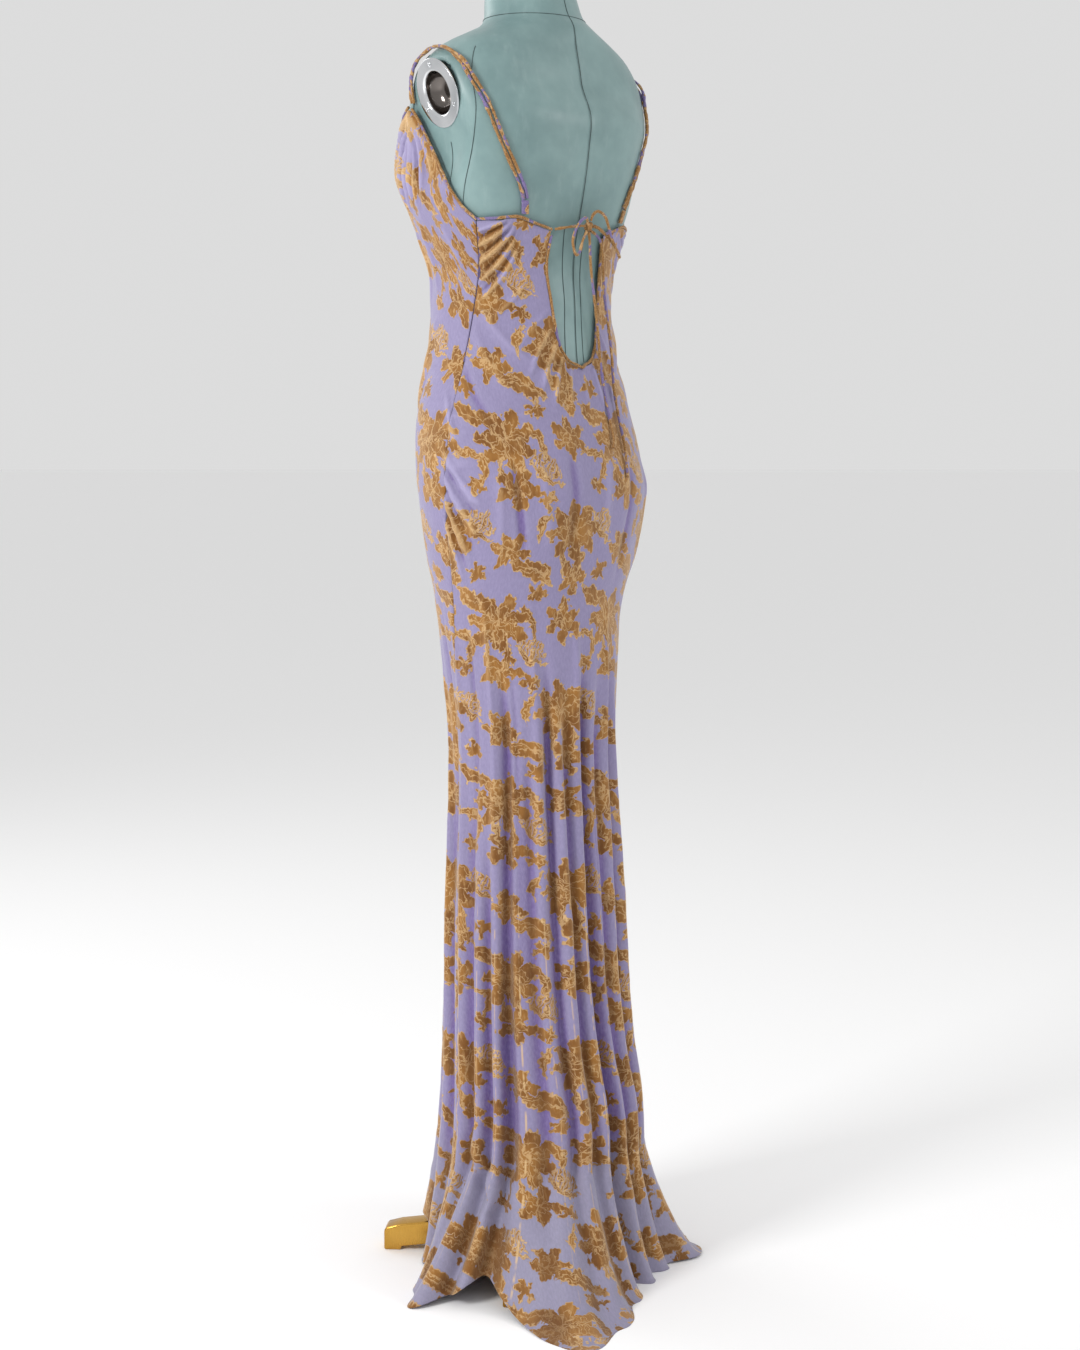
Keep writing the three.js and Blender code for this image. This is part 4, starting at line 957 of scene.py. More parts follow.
class VelvetCloth:
    """Velvet flowers left standing on a sheer ground, their fields worked out on the cloth's own map."""

    ground = rgb(137, 129, 163)
    # Ground in the troughs of the folds: painted shade; also the darker random tone of the cords.
    ground_dark_and_shade = rgb(104, 84, 140)
    ground_sheer = rgb(138, 134, 156)
    # Paler ground: a painted highlight on the ridges, and also the crinkle's random paler tone.
    ground_pale_and_highlight = rgb(176, 168, 204)
    velvet = rgb(151, 104, 48)
    # Velvet in the troughs of the folds: painted shade.
    velvet_shade = rgb(92, 56, 26)
    velvet_dark = rgb(118, 75, 32)
    # Paler velvet: its random streaks, and also a painted sheen towards the edges.
    velvet_pale_and_sheen = rgb(190, 150, 98)
    # Pale gold: the motifs' outlines and veins, and also the painted highlight on ridges and fold crests.
    edge = rgb(216, 182, 134)

    def __init__(self, name: str) -> None:
        """Starts the material.

        Args:
            name: Name of the material.
        """
        self.nodes = Nodes(name)

    def local(self, uv: object, centre: tuple[float, float], size: tuple[float, float], turn: float) -> tuple:
        """The cloth's map about one motif, in shares of its size.

        Args:
            uv: The warped map.
            centre: Place of the motif in the repeat, in millimetres.
            size: Half length and half width in millimetres.
            turn: Turn in degrees.

        Returns:
            The vector, and its x and y.
        """
        nodes = self.nodes
        half = (REPEAT[0] / 2 * MM, REPEAT[1] / 2 * MM, 1.0)
        away = nodes.vector("SUBTRACT", uv, (centre[0] * MM, centre[1] * MM, 0.0))
        near = nodes.vector("WRAP", away, half, tuple(-value for value in half))
        placed = nodes.add("ShaderNodeMapping", (near,), vector_type="TEXTURE")
        placed.inputs["Rotation"].default_value = (0, 0, math.radians(turn))
        placed.inputs["Scale"].default_value = (size[0] * MM, size[1] * MM, 1)
        flat = placed.outputs[0]
        parts = nodes.add("ShaderNodeSeparateXYZ", (flat,))
        return flat, parts.outputs[0], parts.outputs[1]

    def petals(self, place: tuple, size: float, lobes: float, depth: float, inner: float) -> tuple:
        """A lobed flower.

        Args:
            place: What local returned.
            size: Mean half size in millimetres.
            lobes: Number of petals.
            depth: How deep the petals are cut, as a share.
            inner: Share of the size at which the inner petals' line lies, 0 for none.

        Returns:
            The field, above 0 inside, in metres, and the distance from the inner line or None.
        """
        nodes = self.nodes
        flat, x, y = place
        radius = nodes.add("ShaderNodeVectorMath", (flat,), operation="LENGTH").outputs["Value"]
        angle = nodes.math("ARCTAN2", y, x)
        wave = nodes.size(nodes.math("SINE", nodes.times(angle, lobes / 2)))
        rim = nodes.math("MULTIPLY_ADD", wave, depth, 1 - depth)
        shape = nodes.times(nodes.minus(rim, radius), size * MM)
        line = None
        if inner:
            ring = nodes.size(nodes.times(nodes.minus(nodes.times(rim, inner), radius), size * MM))
            ray = nodes.times(nodes.times(wave, radius), size * MM * 2 / lobes)
            line = nodes.math("MINIMUM", ring, ray)
        return shape, line

    def leaf(self, place: tuple, width: float, bend: float) -> tuple:
        """A bent leaf with its midrib.

        Args:
            place: What local returned.
            width: Half width in millimetres.
            bend: Bend in half widths.

        Returns:
            The field in metres, and the distance from the midrib.
        """
        nodes = self.nodes
        _, x, y = place
        square = nodes.times(x, x)
        off = nodes.size(nodes.math("MULTIPLY_ADD", square, bend * 2, y))
        shape = nodes.times(nodes.minus(nodes.minus(1.0, square), off), width * MM)
        rib = nodes.math("MAXIMUM", nodes.times(off, width * MM), nodes.times(shape, -1.0))
        return shape, rib

    def pattern(self) -> tuple:
        """All the motifs of the repeat.

        Returns:
            The field of the velvet, the distance from its inner lines, and the plain map.
        """
        nodes = self.nodes
        plain = nodes.add("ShaderNodeUVMap", uv_map="cloth").outputs[0]
        long = nodes.vector("MULTIPLY", plain, (1.0, 0.75, 1.0))
        coarse = nodes.noise_node(long, 88, 2.0, 0.65).outputs["Color"]
        coarse = nodes.vector("SUBTRACT", coarse, (0.5, 0.5, 0.5))
        warped = nodes.vector("MULTIPLY_ADD", coarse, (0.021, 0.026, 0.0), plain)
        fields, lines = [], []
        for kind, x, y, length, width, turn, lobes, depth, bend in MOTIFS:
            place = self.local(warped, (x * TIGHTEN, y * TIGHTEN), (length, width), turn)
            if kind in (Motif.LEAF, Motif.BUD):
                shape, line = self.leaf(place, width, bend)
                if kind is Motif.BUD:
                    stripes = nodes.size(nodes.math("SINE", nodes.times(place[1], 13.0)))
                    shape = nodes.math("MINIMUM", shape, nodes.times(nodes.minus(stripes, 0.28), 0.003))
            else:
                shape, line = self.petals(place, (length + width) / 2, lobes, depth, INNER_PETALS[kind])
            fields.append(shape)
            if line is not None:
                lines.append(line)
        field_all, line_all = fields[0], lines[0]
        for shape in fields[1:]:
            field_all = nodes.math("MAXIMUM", field_all, shape)
        for line in lines[1:]:
            line_all = nodes.math("MINIMUM", line_all, line)
        return field_all, line_all, plain

    def build(self) -> Finish:
        """Links colours, with painted shade and painted highlights on the folds, gloss and relief.

        Returns:
            The material.
        """
        nodes = self.nodes
        shape, line, plain = self.pattern()
        inside = nodes.ramp(shape, -0.0006, 0.0007)
        rim = nodes.line(nodes.size(nodes.minus(shape, 0.0009)), 0.0003, 0.0014)
        vein = nodes.line(line, 0.0003, 0.0011)
        # Fold mark: 0 deep in a fold, 1 high on a crease, used for painted shade and a painted highlight.
        ridge_shading = nodes.mark("ridge_shading")
        trough, top = nodes.ramp(ridge_shading, 0.46, 0.04), nodes.ramp(ridge_shading, 0.64, 1.0)
        # Painted highlight: pale gold along the crests of the skirt's folds, broken up by noise.
        broken = nodes.ramp(nodes.noise(plain, 34, 2.0, 0.6), 0.44, 0.56)
        crest = nodes.times(nodes.ramp(nodes.mark("crest"), 1.9, 0.6), broken)
        crinkle = nodes.noise(nodes.vector("MULTIPLY", plain, (1.0, 0.35, 1.0)), 420, 3.0, 0.6)
        # Painted shade in the troughs and a painted highlight on the ridges of the ground.
        ground = nodes.tint(trough, 0.9, self.ground, self.ground_dark_and_shade)
        ground = nodes.mix(nodes.mark("sheer"), ground, self.ground_sheer)
        ground = nodes.tint(top, 0.45, ground, self.ground_pale_and_highlight)
        ground = nodes.tint(nodes.ramp(crinkle, 0.3, 0.75), 0.2, ground, self.ground_pale_and_highlight)
        color = nodes.mix(inside, ground, self.pile_color(plain, vein, rim, trough, top))
        # Painted highlight along the fold crests.
        color = nodes.tint(crest, 0.7, color, self.edge)
        rough = nodes.math("MULTIPLY_ADD", inside, 0.18, 0.58)
        pile = nodes.noise(plain, 1500, 2.0, 0.6)
        raised = nodes.math("MULTIPLY_ADD", inside, 1.0, nodes.times(pile, 0.25))
        raised = nodes.math("MULTIPLY_ADD", nodes.times(vein, inside), -0.4, raised)
        relief = nodes.bump(crinkle, 0.0007, 0.5, nodes.bump(raised, 0.0006, 0.8))
        return nodes.finish(color, rough, relief, Sheen_Weight=0.35, Sheen_Roughness=0.4,
                            Specular_IOR_Level=0.25)

    def pile_color(self, plain: Socket, vein: Socket, rim: Socket, trough: Socket, top: Socket) -> Socket:
        """Colour of the velvet's pile, with a painted sheen, painted shade in the troughs and painted
        highlights on the ridges.

        Args:
            plain: The cloth's map.
            vein: Where its inner lines run.
            rim: Where its rim runs.
            trough: How deep in a trough it lies, for painted shade.
            top: How high on the ridges it lies, for a painted highlight.

        Returns:
            The colour.
        """
        nodes = self.nodes
        broad = nodes.noise(plain, 26, 2.0, 0.5)
        streaks = nodes.noise(nodes.vector("MULTIPLY", plain, (1.0, 0.25, 1.0)), 260, 3.0, 0.6)
        # Layer Weight facing: a painted sheen, paler where the velvet is seen edge-on.
        facing = nodes.add("ShaderNodeLayerWeight", (0.36,)).outputs["Facing"]
        body = nodes.mix(nodes.ramp(broad, 0.35, 0.68), self.velvet_dark, self.velvet)
        body = nodes.tint(nodes.ramp(streaks, 0.48, 0.72), 0.55, body, self.velvet_pale_and_sheen)
        body = nodes.tint(facing, 0.6, body, self.velvet_pale_and_sheen)
        body = nodes.tint(vein, 0.5, body, self.edge)
        body = nodes.tint(rim, 0.55, body, self.edge)
        # Painted shade in the troughs and a painted highlight on the ridges.
        body = nodes.tint(trough, 0.6, body, self.velvet_shade)
        return nodes.tint(top, 0.5, body, self.edge)


@dataclass(frozen=True)
class CordCloth:
    """Bias strips of the same cloth, cut across its flowers, part velvet and part ground."""

    name: str
    scale: float = 40.0

    def build(self) -> Finish:
        """Returns the material."""
        nodes = Nodes(self.name)
        where = nodes.place()
        patches, fine = nodes.noise(where, self.scale, 2.0, 0.7), nodes.noise(where, 900, 3.0, 0.6)
        inside = nodes.ramp(patches, 0.435, 0.465)
        edge = nodes.line(nodes.size(nodes.minus(patches, 0.475)), 0.004, 0.02)
        body = nodes.mix(nodes.ramp(fine, 0.35, 0.7), VelvetCloth.velvet_dark, VelvetCloth.velvet_pale_and_sheen)
        body = nodes.tint(edge, 0.5, body, VelvetCloth.edge)
        ground = nodes.mix(nodes.ramp(fine, 0.3, 0.7), VelvetCloth.ground_dark_and_shade, VelvetCloth.ground)
        relief = nodes.bump(nodes.math("ADD", inside, fine), 0.0006, 0.7)
        return nodes.finish(nodes.mix(inside, ground, body), 0.7, relief, Sheen_Weight=0.3,
                            Sheen_Roughness=0.4, Specular_IOR_Level=0.25)


@dataclass(frozen=True)
class PlainCloth:
    """A plain woven cloth."""

    name: str
    light: Color
    dark: Color
    roughness: float = 0.6
    weave: float = 1400.0

    def build(self) -> Finish:
        """Returns the material."""
        nodes = Nodes(self.name)
        where = nodes.place()
        shade = nodes.noise(where, 18)
        threads = nodes.noise(nodes.vector("MULTIPLY", where, (1.0, 1.0, 0.3)), self.weave, 1.0)
        color = nodes.mix(nodes.ramp(shade, 0.3, 0.7), self.dark, self.light)
        relief = nodes.bump(threads, 0.0003, 0.5)
        return nodes.finish(color, self.roughness, relief, Sheen_Weight=0.2, Specular_IOR_Level=0.3)


@dataclass(frozen=True)
class Leather:
    """Leather of the form, smooth, with paler, rougher vertical streaks and a fine grain."""

    name: str = "form_leather"

    def build(self) -> Finish:
        """Returns the material."""
        nodes = Nodes(self.name)
        where = nodes.place()
        patches = nodes.noise(where, 9, 4.0, 0.6)
        # Paler, rougher streaks, stretched up and down the form.
        pale_streaks = nodes.noise(nodes.vector("MULTIPLY", where, (1.0, 1.0, 0.25)), 60, 4.0, 0.7)
        color = nodes.mix(nodes.ramp(patches, 0.3, 0.7), rgb(108, 135, 135), rgb(130, 157, 156))
        color = nodes.tint(nodes.ramp(pale_streaks, 0.5, 0.8), 0.25, color, rgb(160, 179, 179))
        cells = nodes.add("ShaderNodeTexVoronoi")
        nodes.feed(cells.inputs["Vector"], where)
        cells.inputs["Scale"].default_value = 900
        grain = nodes.bump(cells.outputs["Distance"], 0.0002, 0.35)
        dents = nodes.bump(nodes.noise(where, 45, 3.0), 0.0012, 0.25, grain)
        rough = nodes.ramp(pale_streaks, 0.3, 0.8, 0.36, 0.52)
        return nodes.finish(color, rough, dents, Coat_Weight=0.12, Coat_Roughness=0.3,
                            Specular_IOR_Level=0.45)


@dataclass(frozen=True)
class Metal:
    """Polished or brushed metal."""

    name: str
    light: Color
    dark: Color
    roughness: float
    stretch: tuple[float, float, float] = (1.0, 1.0, 0.05)

    def build(self) -> Finish:
        """Returns the material."""
        nodes = Nodes(self.name)
        where = nodes.place()
        cloud = nodes.noise(where, 14, 3.0)
        lines = nodes.noise(nodes.vector("MULTIPLY", where, self.stretch), 1200)
        color = nodes.mix(nodes.ramp(cloud, 0.35, 0.7), self.dark, self.light)
        rough = nodes.ramp(lines, 0.3, 0.7, self.roughness, self.roughness + 0.1)
        relief = nodes.bump(lines, 0.0001, 0.2)
        return nodes.finish(color, rough, relief, Metallic=1.0)


class Finishes:
    """Every finish, built once."""

    def __init__(self) -> None:
        """Builds the materials."""
        self.cloth = VelvetCloth("dress_cloth").build()
        self.inside = PlainCloth("dress_cloth_inside", rgb(132, 104, 150), rgb(92, 62, 98), 0.7).build()
        self.cord = CordCloth("cord_cloth").build()
        self.lining = PlainCloth("lining_cloth", rgb(150, 134, 206), rgb(122, 104, 182), 0.5).build()
        self.tape = PlainCloth("zip_tape", rgb(112, 100, 140), rgb(74, 62, 98), 0.6).build()
        self.leather = Leather().build()
        self.thread = PlainCloth("seam_thread", rgb(74, 92, 92), rgb(52, 68, 68), 0.7).build()
        even = (1.0, 1.0, 1.0)
        self.plate = Metal("arm_plate_metal", rgb(226, 228, 230), rgb(196, 199, 202), 0.07, even).build()
        # The bowl's dark colour is a painted dark reflection.
        self.bowl = Metal("arm_plate_bowl_painted_dark", rgb(112, 106, 102), rgb(52, 46, 44), 0.1, even).build()
        self.brass = Metal("stand_brass", rgb(206, 160, 76), rgb(168, 122, 48), 0.2).build()
        self.floor = self.stage_floor()

    @staticmethod
    def stage_floor() -> Finish:
        """Plain pale floor."""
        nodes = Nodes("stage_floor")
        return nodes.finish(rgb(252, 252, 252), 0.9)


def new_object(name: str, mesh: bpy.types.Mesh, materials: Sequence[Finish]) -> Piece:
    """Makes an object at the origin.

    Args:
        name: Name of the piece.
        mesh: Its mesh, in metres in the part's frame.
        materials: Its finishes.

    Returns:
        The object, linked to the scene.
    """
    for material in materials:
        mesh.materials.append(material)
    made = bpy.data.objects.new(f"{name}_fine", mesh)
    bpy.context.scene.collection.objects.link(made)
    return made


def dress_piece(made: Piece, nodes: Sequence[str]) -> Piece:
    """Lets a piece ride on the body and the nodes that it stands for.

    Args:
        made: The piece.
        nodes: Names of the nodes that it replaces.

    Returns:
        The piece.
    """
    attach(made, BODY)
    if nodes:
        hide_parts(*nodes)
    log.info("built %s with %d faces", made.name, len(made.data.polygons))
    return made


def from_bmesh(name: str, work: Work, materials: Sequence[Finish]) -> Piece:
    """Turns a bmesh into a smooth-shaded object."""
    mesh = bpy.data.meshes.new(name)
    work.to_mesh(mesh)
    work.free()
    mesh.polygons.foreach_set("use_smooth", [True] * len(mesh.polygons))
    return new_object(name, mesh, materials)


def sheet_grid(columns: int, rows: int) -> Work:
    """A flat grid whose corners span 0 to 1.

    Args:
        columns: Faces across.
        rows: Faces up.

    Returns:
        The bmesh, each vertex at (column / columns, row / rows, 0), its faces looking down, so that they
        look outwards once the columns are turned round the pole.
    """
    work = bmesh.new()
    bmesh.ops.create_grid(work, x_segments=columns, y_segments=rows, size=0.5)
    bmesh.ops.reverse_faces(work, faces=work.faces)
    bmesh.ops.translate(work, verts=work.verts, vec=(0.5, 0.5, 0))
    return work


def bake_modifiers(made: Piece) -> None:
    """Applies the modifiers, so that the mesh holds its wall."""
    graph = bpy.context.evaluated_depsgraph_get()
    solid = made.evaluated_get(graph)
    done = bpy.data.meshes.new_from_object(solid, preserve_all_data_layers=True, depsgraph=graph)
    made.modifiers.clear()
    made.data = done


@dataclass
class ClothSheet:
    """A shell of cloth made from a grid of points."""

    name: str
    wall: float = 0.9

    def relief(self, t: Array, points: Array) -> Array:
        """Height of the creases and of the cloth's crumple, in millimetres."""
        z = points[..., 2]
        settle = smoothstep(z, 4, 60)
        fine = crumple(points, 34, 0.8, 3.1) + crumple(points, 15, 0.35, 7.7)
        low = np.minimum(crease_relief(t, z), 6) + fine
        return np.maximum(low, -3.0) * settle

    def shape(self, t: Array, points: Array, normals: Array) -> Array:
        """Points with their relief, none below the floor."""
        moved = points + normals * self.relief(t, points)[..., None]
        moved[..., 2] = np.maximum(moved[..., 2], self.wall * 0.5)
        return moved


@dataclass
class DressPanels:
    """The front and the back of the dress."""

    finishes: Finishes
    columns_back: int = 200
    columns_front: int = 190
    hem_rows: int = 34
    skirt_rows: int = 118
    leg_rows: int = 72
    hip_place: float = 0.77
    relaxed_rows: int = 62
    bodice_rows: int = 90
    wall: float = 0.9
    fold_share: float = 0.45
    hem_share: float = 0.35
    # fold_scale, crease_scale, skirt_calm and crest_off set the painted shade and highlights of the folds.
    fold_scale: float = 22.0
    crease_scale: float = 8.0
    skirt_calm: float = 10.0
    crest_off: float = 30.0

    def __post_init__(self) -> None:
        """Sets the rows' places, closer over the hips and on the floor."""
        hem = -(np.linspace(1, 0, self.hem_rows + 1)[:-1] ** 1.1)
        hips = np.linspace(self.hip_place, 1, self.skirt_rows - self.leg_rows + 1)[1:]
        skirt = np.concatenate([np.linspace(0, self.hip_place, self.leg_rows + 1), hips])
        bodice = 1 + np.linspace(0, 1, self.bodice_rows + 1)[1:]
        self.places = np.concatenate([hem, skirt, bodice])
        self.slit_row = self.hem_rows + self.skirt_rows

    def flat_map(self, smooth: Panel, folded: Array, u: Array, s: Array, middle: float, side: int) -> Array:
        """The cloth's own map in metres over half a panel: across from the middle line, and up.

        Args:
            smooth: The panel without its folds.
            folded: Grid of the folded points in millimetres.
            u: Places across.
            s: Places up.
            middle: Angle of the middle line.
            side: 1 for the half after the middle column, -1 for the half before it.

        Returns:
            Map coordinates for each point of the grid, right on that half.
        """
        t, points = smooth.surface(u, s)
        centre = u.shape[1] // 2

        def reach(grid: Array) -> Array:
            """Arc length of each row from the middle column."""
            steps = np.linalg.norm(np.diff(grid, axis=1), axis=-1)
            total = np.concatenate([np.zeros((len(grid), 1)), np.cumsum(steps, axis=1)], axis=1)
            return total - total[:, centre:centre + 1]

        plain, true = reach(points), reach(folded)
        extra = true - plain
        end = -1 if side > 0 else 0
        extra = extra - extra[:, [end]] * np.abs(2 * u - 1)
        extra = self.fold_share * extra * smoothstep(points[..., 2], HEM_ROLL, KNEE)
        column, height = t[:, centre], np.maximum(points[:, centre, 2], HEM_ROLL)
        start = (column - middle) / degrees_per_mm(column, height)
        across = start[:, None] + plain + extra
        roll = self.hem_rows
        across[:roll] = across[roll] + self.hem_share * (across[:roll] - across[roll])
        climbs = np.linalg.norm(np.diff(points, axis=0), axis=-1)
        length = np.concatenate([np.zeros((1, points.shape[1])), np.cumsum(climbs, axis=0)], axis=0)
        up = np.where(s < 0, HEM_ROLL + length - length[roll:roll + 1], points[..., 2])
        return np.stack([across, up], axis=-1) * MM

    def relax(self, flat: Array, points: Array, rounds: int = 1200) -> Array:
        """Evens out the stretch of the map's lowest rows, as if its threads were springs.

        Args:
            flat: Map coordinates in metres.
            points: Points in millimetres.
            rounds: How often the springs pull.

        Returns:
            The map with its lowest rows evened out.
        """
        rows, columns = self.hem_rows + self.relaxed_rows, flat.shape[1]
        moved, real = flat[:rows].copy(), points[:rows] * MM
        springs = []
        for up, right in ((0, 1), (1, 0), (1, 1), (1, -1)):
            first = slice(0, rows - up), slice(max(0, -right), columns - max(0, right))
            second = slice(up, rows), slice(max(0, right), columns - max(0, -right))
            springs.append((first, second, np.linalg.norm(real[second] - real[first], axis=-1)))
        for _ in range(rounds):
            push = np.zeros_like(moved)
            for first, second, rest in springs:
                gap = moved[second] - moved[first]
                length = np.maximum(np.linalg.norm(gap, axis=-1), 1e-9)
                pull = gap * ((length - rest) / length)[..., None]
                push[first] += pull
                push[second] -= pull
            moved[:-2] += push[:-2] / 8
        result = flat.copy()
        result[:rows] = moved
        return result

    def marks(self, t: Array, u: Array, points: Array, panel: Panel) -> tuple[Array, Array, Array]:
        """Ridges and troughs for painted shade and painted highlights, how sheer the cloth is, and how far
        off the nearest crest line runs, for a painted highlight.

        Args:
            t: Angles.
            u: Places across.
            points: Points in millimetres.
            panel: The panel with its folds.

        Returns:
            The first two marks from 0 to 1, and the last in millimetres.
        """
        z = points[..., 2]
        low = panel.fold_depth(u, np.clip(z, 0, None))
        crease_scale = self.crease_scale + self.skirt_calm * (1 - smoothstep(z, 700, 900))
        # Painted shade and highlight: lower where a fold draws the cloth in, higher on creases.
        ridge_shading = np.clip(0.5 - low / self.fold_scale + crease_relief(t, z) / crease_scale, 0, 1)
        sheer = 1 - smoothstep(z + crumple(points, 60, 26, 5.3), 132, 214)
        count = len(panel.folds.data)
        span = np.linalg.norm(np.diff(points, axis=1), axis=-1).sum(axis=1, keepdims=True) / count
        crest = np.abs(u * count - np.round(u * count)) * span
        return ridge_shading, sheer, crest + self.crest_off * smoothstep(z, 480, 700)

    def build_panel(self, name: str, columns: int, panels: tuple[Panel, Panel], smooth: tuple[Panel, Panel],
                    slit: bool) -> Piece:
        """Makes one panel.

        Args:
            name: Name of the piece, and of the node that it replaces.
            columns: Faces across.
            panels: The surface of the first and of the second half.
            smooth: The same without folds, for the cloth's map.
            slit: Whether the panel is slit above the keyhole's foot.

        Returns:
            The panel.
        """
        rows = len(self.places) - 1
        centre = columns // 2
        u, s = np.meshgrid(np.linspace(0, 1, columns + 1), self.places)
        cloth = ClothSheet(name, self.wall)
        angles, grids = [], []
        for panel in panels:
            t, points = panel.surface(u, s)
            angles.append(t)
            grids.append(points)
        normals = grid_normals(grids[0])
        joined = grids[0].copy()
        if slit:
            joined[:, centre + 1:] = grids[1][:, centre + 1:]
            normals = grid_normals(joined)
            high = slice(self.slit_row + 1, None)
            normals[high, :centre + 1] = grid_normals(grids[0][:, :centre + 1])[high]
            normals[high, centre + 1:] = grid_normals(grids[1][:, centre:])[high, 1:]
        t_all = angles[0].copy()
        t_all[:, centre + 1:] = angles[1][:, centre + 1:]
        shaped = cloth.shape(t_all, joined, normals)
        if slit:
            edge_normals = grid_normals(grids[1][:, centre:])[:, :1]
            edge = cloth.shape(angles[1][:, centre:centre + 1], grids[1][:, centre:centre + 1], edge_normals)
        middle = 0.0 if slit else 180.0
        before, after = (self.flat_map(panel, grid, u, s, middle, side)
                         for panel, grid, side in zip(smooth, grids, (-1, 1)))
        flat = before.copy()
        flat[:, centre + 1:] = after[:, centre + 1:]
        flat = self.relax(flat, joined)
        ridge_shading, sheer, crest = self.marks(t_all, u, joined, panels[0])
        work = sheet_grid(columns, rows)
        work.verts.ensure_lookup_table()
        side = work.verts.layers.int.new("wing")
        if slit:
            cut = [e for e in work.edges if all(abs(v.co.x - 0.5) < 1e-6 for v in e.verts)
                   and min(v.co.y for v in e.verts) > (self.slit_row - 0.5) / rows]
            bmesh.ops.split_edges(work, edges=cut)
            for vert in work.verts:
                if abs(vert.co.x - 0.5) < 1e-6 and vert.co.y > (self.slit_row + 0.5) / rows:
                    vert[side] = 1 if vert.link_faces[0].calc_center_median().x > 0.5 else -1
        place = [(round(v.co.y * rows), round(v.co.x * columns), v[side]) for v in work.verts]
        made = from_bmesh(name, work, (self.finishes.cloth, self.finishes.inside))
        row, column, wing = (np.array(values) for values in zip(*place))
        coordinates = shaped[row, column]
        uv = flat[row, column]
        if slit:
            left = wing == 1
            coordinates[left] = edge[row[left], 0]
            uv[left] = after[row[left], centre]
        mesh = made.data
        mesh.vertices.foreach_set("co", to_frame(coordinates).ravel())
        loops = np.zeros(len(mesh.loops), dtype=np.int32)
        mesh.loops.foreach_get("vertex_index", loops)
        layer = mesh.uv_layers.new(name="cloth")
        layer.data.foreach_set("uv", uv[loops].ravel())
        for mark, values in (("ridge_shading", ridge_shading), ("sheer", sheer), ("crest", crest)):
            attribute = mesh.attributes.new(mark, "FLOAT", "POINT")
            attribute.data.foreach_set("value", values[row, column].astype(np.float32))
        mesh.update()
        wall = made.modifiers.new("wall", "SOLIDIFY")
        wall.thickness = self.wall * MM
        wall.offset = -1
        wall.material_offset = 1
        wall.use_even_offset = False
        bake_modifiers(made)
        return dress_piece(made, [name])

    def build(self) -> tuple[Piece, Piece]:
        """Makes both panels.

        Returns:
            The back and the front.
        """
        wings, plain = (BackPanel(-1), BackPanel(1)), (BackPanel(-1, False), BackPanel(1, False))
        back = self.build_panel("back_panel", self.columns_back, wings, plain, True)
        front = self.build_panel("front_panel", self.columns_front, (FrontPanel(), FrontPanel()),
                                 (FrontPanel(False), FrontPanel(False)), False)
        return back, front


def cord_points(points: Sequence[Point], steps: int) -> Array:
    """A smooth route through given points.

    Args:
        points: The points.
        steps: How many steps the route has.

    Returns:
        Points along it, centripetal enough for even spacing.
    """
    table = Table("step x y z", [[index, *point] for index, point in enumerate(points)])
    place = np.linspace(0, len(points) - 1, steps + 1)
    return np.stack([table.read(name, place) for name in ("x", "y", "z")], axis=-1)


def tube(name: str, points: Array, radius: float, finish: Finish, seed: float = 0.0,
         sides: int = 3, rough: float = 0.14) -> Piece:
    """A rounded cord along a route, slightly uneven as a turned strip of cloth is.

    Args:
        name: Name of the piece.
        points: Route in millimetres about the pole.
        radius: Radius in millimetres.
        finish: Its material.
        seed: Shift of the unevenness.
        sides: Steps of a quarter turn.
        rough: Share of the radius by which it varies.

    Returns:
        The mesh object.
    """
    curve = bpy.data.curves.new(name, "CURVE")
    curve.dimensions = "3D"
    curve.bevel_depth = radius * MM
    curve.bevel_resolution = sides
    curve.use_fill_caps = True
    spline = curve.splines.new("POLY")
    spline.points.add(len(points) - 1)
    placed = to_frame(points)
    spline.points.foreach_set("co", np.concatenate([placed, np.ones((len(placed), 1))], axis=1).ravel())
    swell = crumple(points, 9, 1.0, seed + 1.3) + 0.5 * crumple(points, 3.5, 1.0, seed + 5.1)
    fade = np.minimum(1, np.minimum(np.arange(len(points)), np.arange(len(points))[::-1]) / 2)
    spline.points.foreach_set("radius", 1 - rough + rough * np.clip(swell * 2, -1, 1) * fade)
    holder = bpy.data.objects.new(name, curve)
    bpy.context.scene.collection.objects.link(holder)
    graph = bpy.context.evaluated_depsgraph_get()
    mesh = bpy.data.meshes.new_from_object(holder.evaluated_get(graph), depsgraph=graph)
    bpy.data.objects.remove(holder)
    work = bmesh.new()
    work.from_mesh(mesh)
    bmesh.ops.remove_doubles(work, verts=work.verts, dist=1e-6)
    bmesh.ops.recalc_face_normals(work, faces=work.faces)
    bpy.data.meshes.remove(mesh)
    return from_bmesh(name, work, (finish,))


